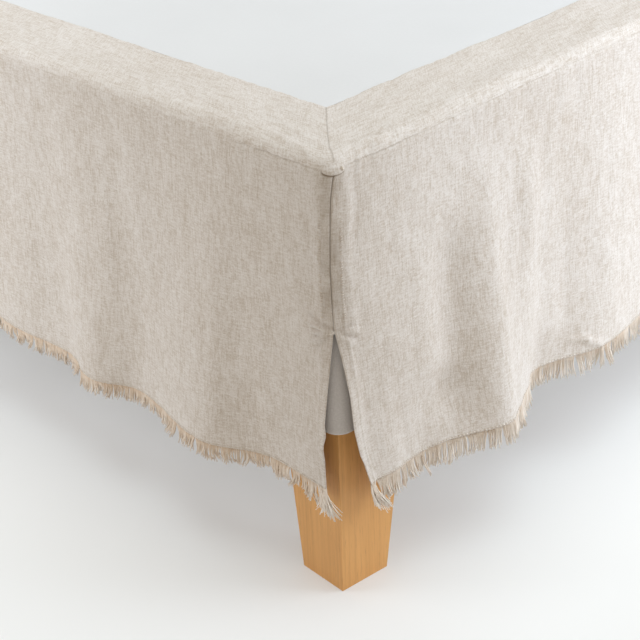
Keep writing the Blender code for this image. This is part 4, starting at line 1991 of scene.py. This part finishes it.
@dataclass(frozen=True)
class Camera:
    """The photograph's viewpoint.

    Args:
        place: Position.
        yaw: Direction of view, seen from above.
        pitch: How far it looks down.
        roll: Turn about the direction of view.
        lens: Focal length in millimetres for a 36 mm wide frame.
    """

    place: tuple[float, float, float] = (1.474287, -1.700852, 0.854269)
    yaw: float = 2.37417
    pitch: float = 0.502711
    roll: float = -0.048707
    lens: float = 97.3209

    def build(self) -> None:
        """Adds the camera and makes it the scene's."""
        data = bpy.data.cameras.new("camera")
        data.sensor_fit = "HORIZONTAL"
        data.sensor_width = 36.0
        data.lens = self.lens
        data.clip_start = 0.01
        data.clip_end = 100.0
        level = math.cos(self.pitch)
        forward = Vector(
            (math.cos(self.yaw) * level, math.sin(self.yaw) * level, -math.sin(self.pitch))
        )
        right = forward.cross(Vector((0.0, 0.0, 1.0))).normalized()
        up = right.cross(forward)
        cosine, sine = math.cos(self.roll), math.sin(self.roll)
        turned_right = right * cosine + up * sine
        turned_up = up * cosine - right * sine
        pose = Matrix((turned_right, turned_up, -forward)).transposed().to_4x4()
        pose.translation = Vector(self.place)
        camera = hang("camera", data)
        camera.matrix_world = pose
        bpy.context.scene.camera = camera


@dataclass(frozen=True)
class Softbox:
    """One soft light of the studio.

    Args:
        name: Its name.
        place: Position.
        aim: The place that it is turned to.
        size: Length of its sides.
        power: Its power in watts.
        colour: Its colour.
        spread: Angle of its beam in degrees.
    """

    name: str
    place: tuple[float, float, float]
    aim: tuple[float, float, float]
    size: float
    power: float
    colour: tuple[float, float, float] = (1.0, 1.0, 1.0)
    spread: float = 180.0

    def build(self) -> None:
        """Hangs the light and turns it to its aim."""
        data = bpy.data.lights.new(self.name, "AREA")
        data.shape = "SQUARE"
        data.size = self.size
        data.energy = self.power
        data.color = self.colour
        data.spread = math.radians(self.spread)
        light = hang(self.name, data)
        light.location = self.place
        way = Vector(self.aim) - Vector(self.place)
        light.rotation_euler = way.to_track_quat("-Z", "Y").to_euler()


@dataclass(frozen=True)
class Studio:
    """Plain pale floor and soft light.

    Args:
        ambient: Strength of the light all round.
        ambient_colour: Its colour.
        overhead: Strength of the wide light from above.
        overhead_colour: Its colour.
        overhead_tilt: Direction that it comes from.
        overhead_spread: Its width in degrees.
        floor_reach: Distance from the middle of the floor to its edges.
        lights: The soft lights at the sides.
    """

    ambient: float = 0.27
    ambient_colour: tuple[float, float, float] = (1.0, 0.66, 0.32)
    overhead: float = 2.10
    overhead_colour: tuple[float, float, float] = (0.795, 0.920, 1.0)
    overhead_tilt: tuple[float, float, float] = (0.10, 0.12, 1.0)
    overhead_spread: float = 55.0
    floor_reach: float = 60.0
    lights: tuple[Softbox, ...] = table(
        Softbox,
        ("right_side", (1.3, -0.05, 0.6), (0.7, -0.3, 0.3), 0.9, 4.3, (0.80, 0.88, 1.0), 100.0),
        ("left_side", (-0.3, -1.6, 0.7), (0.0, -0.95, 0.25), 0.8, 2.6, (0.84, 0.91, 1.0), 90.0),
    )

    def build(self) -> None:
        """Adds the floor, the lights and the even light all round."""
        mesh = bmesh.new()
        bmesh.ops.create_grid(mesh, x_segments=8, y_segments=8, size=self.floor_reach)
        data = bpy.data.meshes.new("floor")
        mesh.to_mesh(data)
        mesh.free()
        link(data, "floor", STUDIO_FLOOR)
        for light in self.lights:
            light.build()
        sun = bpy.data.lights.new("overhead", "SUN")
        sun.energy = self.overhead
        sun.color = self.overhead_colour
        sun.angle = math.radians(self.overhead_spread)
        tilt = Vector(self.overhead_tilt).to_track_quat("Z", "Y")
        hang("overhead", sun).rotation_euler = tilt.to_euler()
        world = bpy.data.worlds.new("studio_air")
        world.use_nodes = True
        sky = world.node_tree.nodes["Background"]
        sky.inputs["Color"].default_value = (*self.ambient_colour, 1.0)
        sky.inputs["Strength"].default_value = self.ambient
        scene = bpy.context.scene
        scene.world = world
        scene.view_settings.view_transform = "Standard"
        scene.view_settings.look = "None"
        scene.view_settings.exposure = 0.0
        scene.view_settings.gamma = 1.0


def main() -> None:
    """Dresses the frame, sets up the studio and logs each piece's triangles."""
    logging.basicConfig(level=logging.INFO, format="%(message)s")
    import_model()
    Camera().build()
    Studio().build()
    Skirt().build()
    cover = BedBase().build()
    register(cover, "base_cloth", "bed_base")
    for leg in (
        Leg("leg_foot_left", -1, -1),
        Leg("leg_foot_right", 1, -1, turn=math.radians(-4.65), lean=(0.0016, 0.0016)),
        Leg("leg_head_left", -1, 1),
        Leg("leg_head_right", 1, 1),
    ):
        register(leg.build(), "beech", leg.name)


if __name__ == "__main__":
    main()
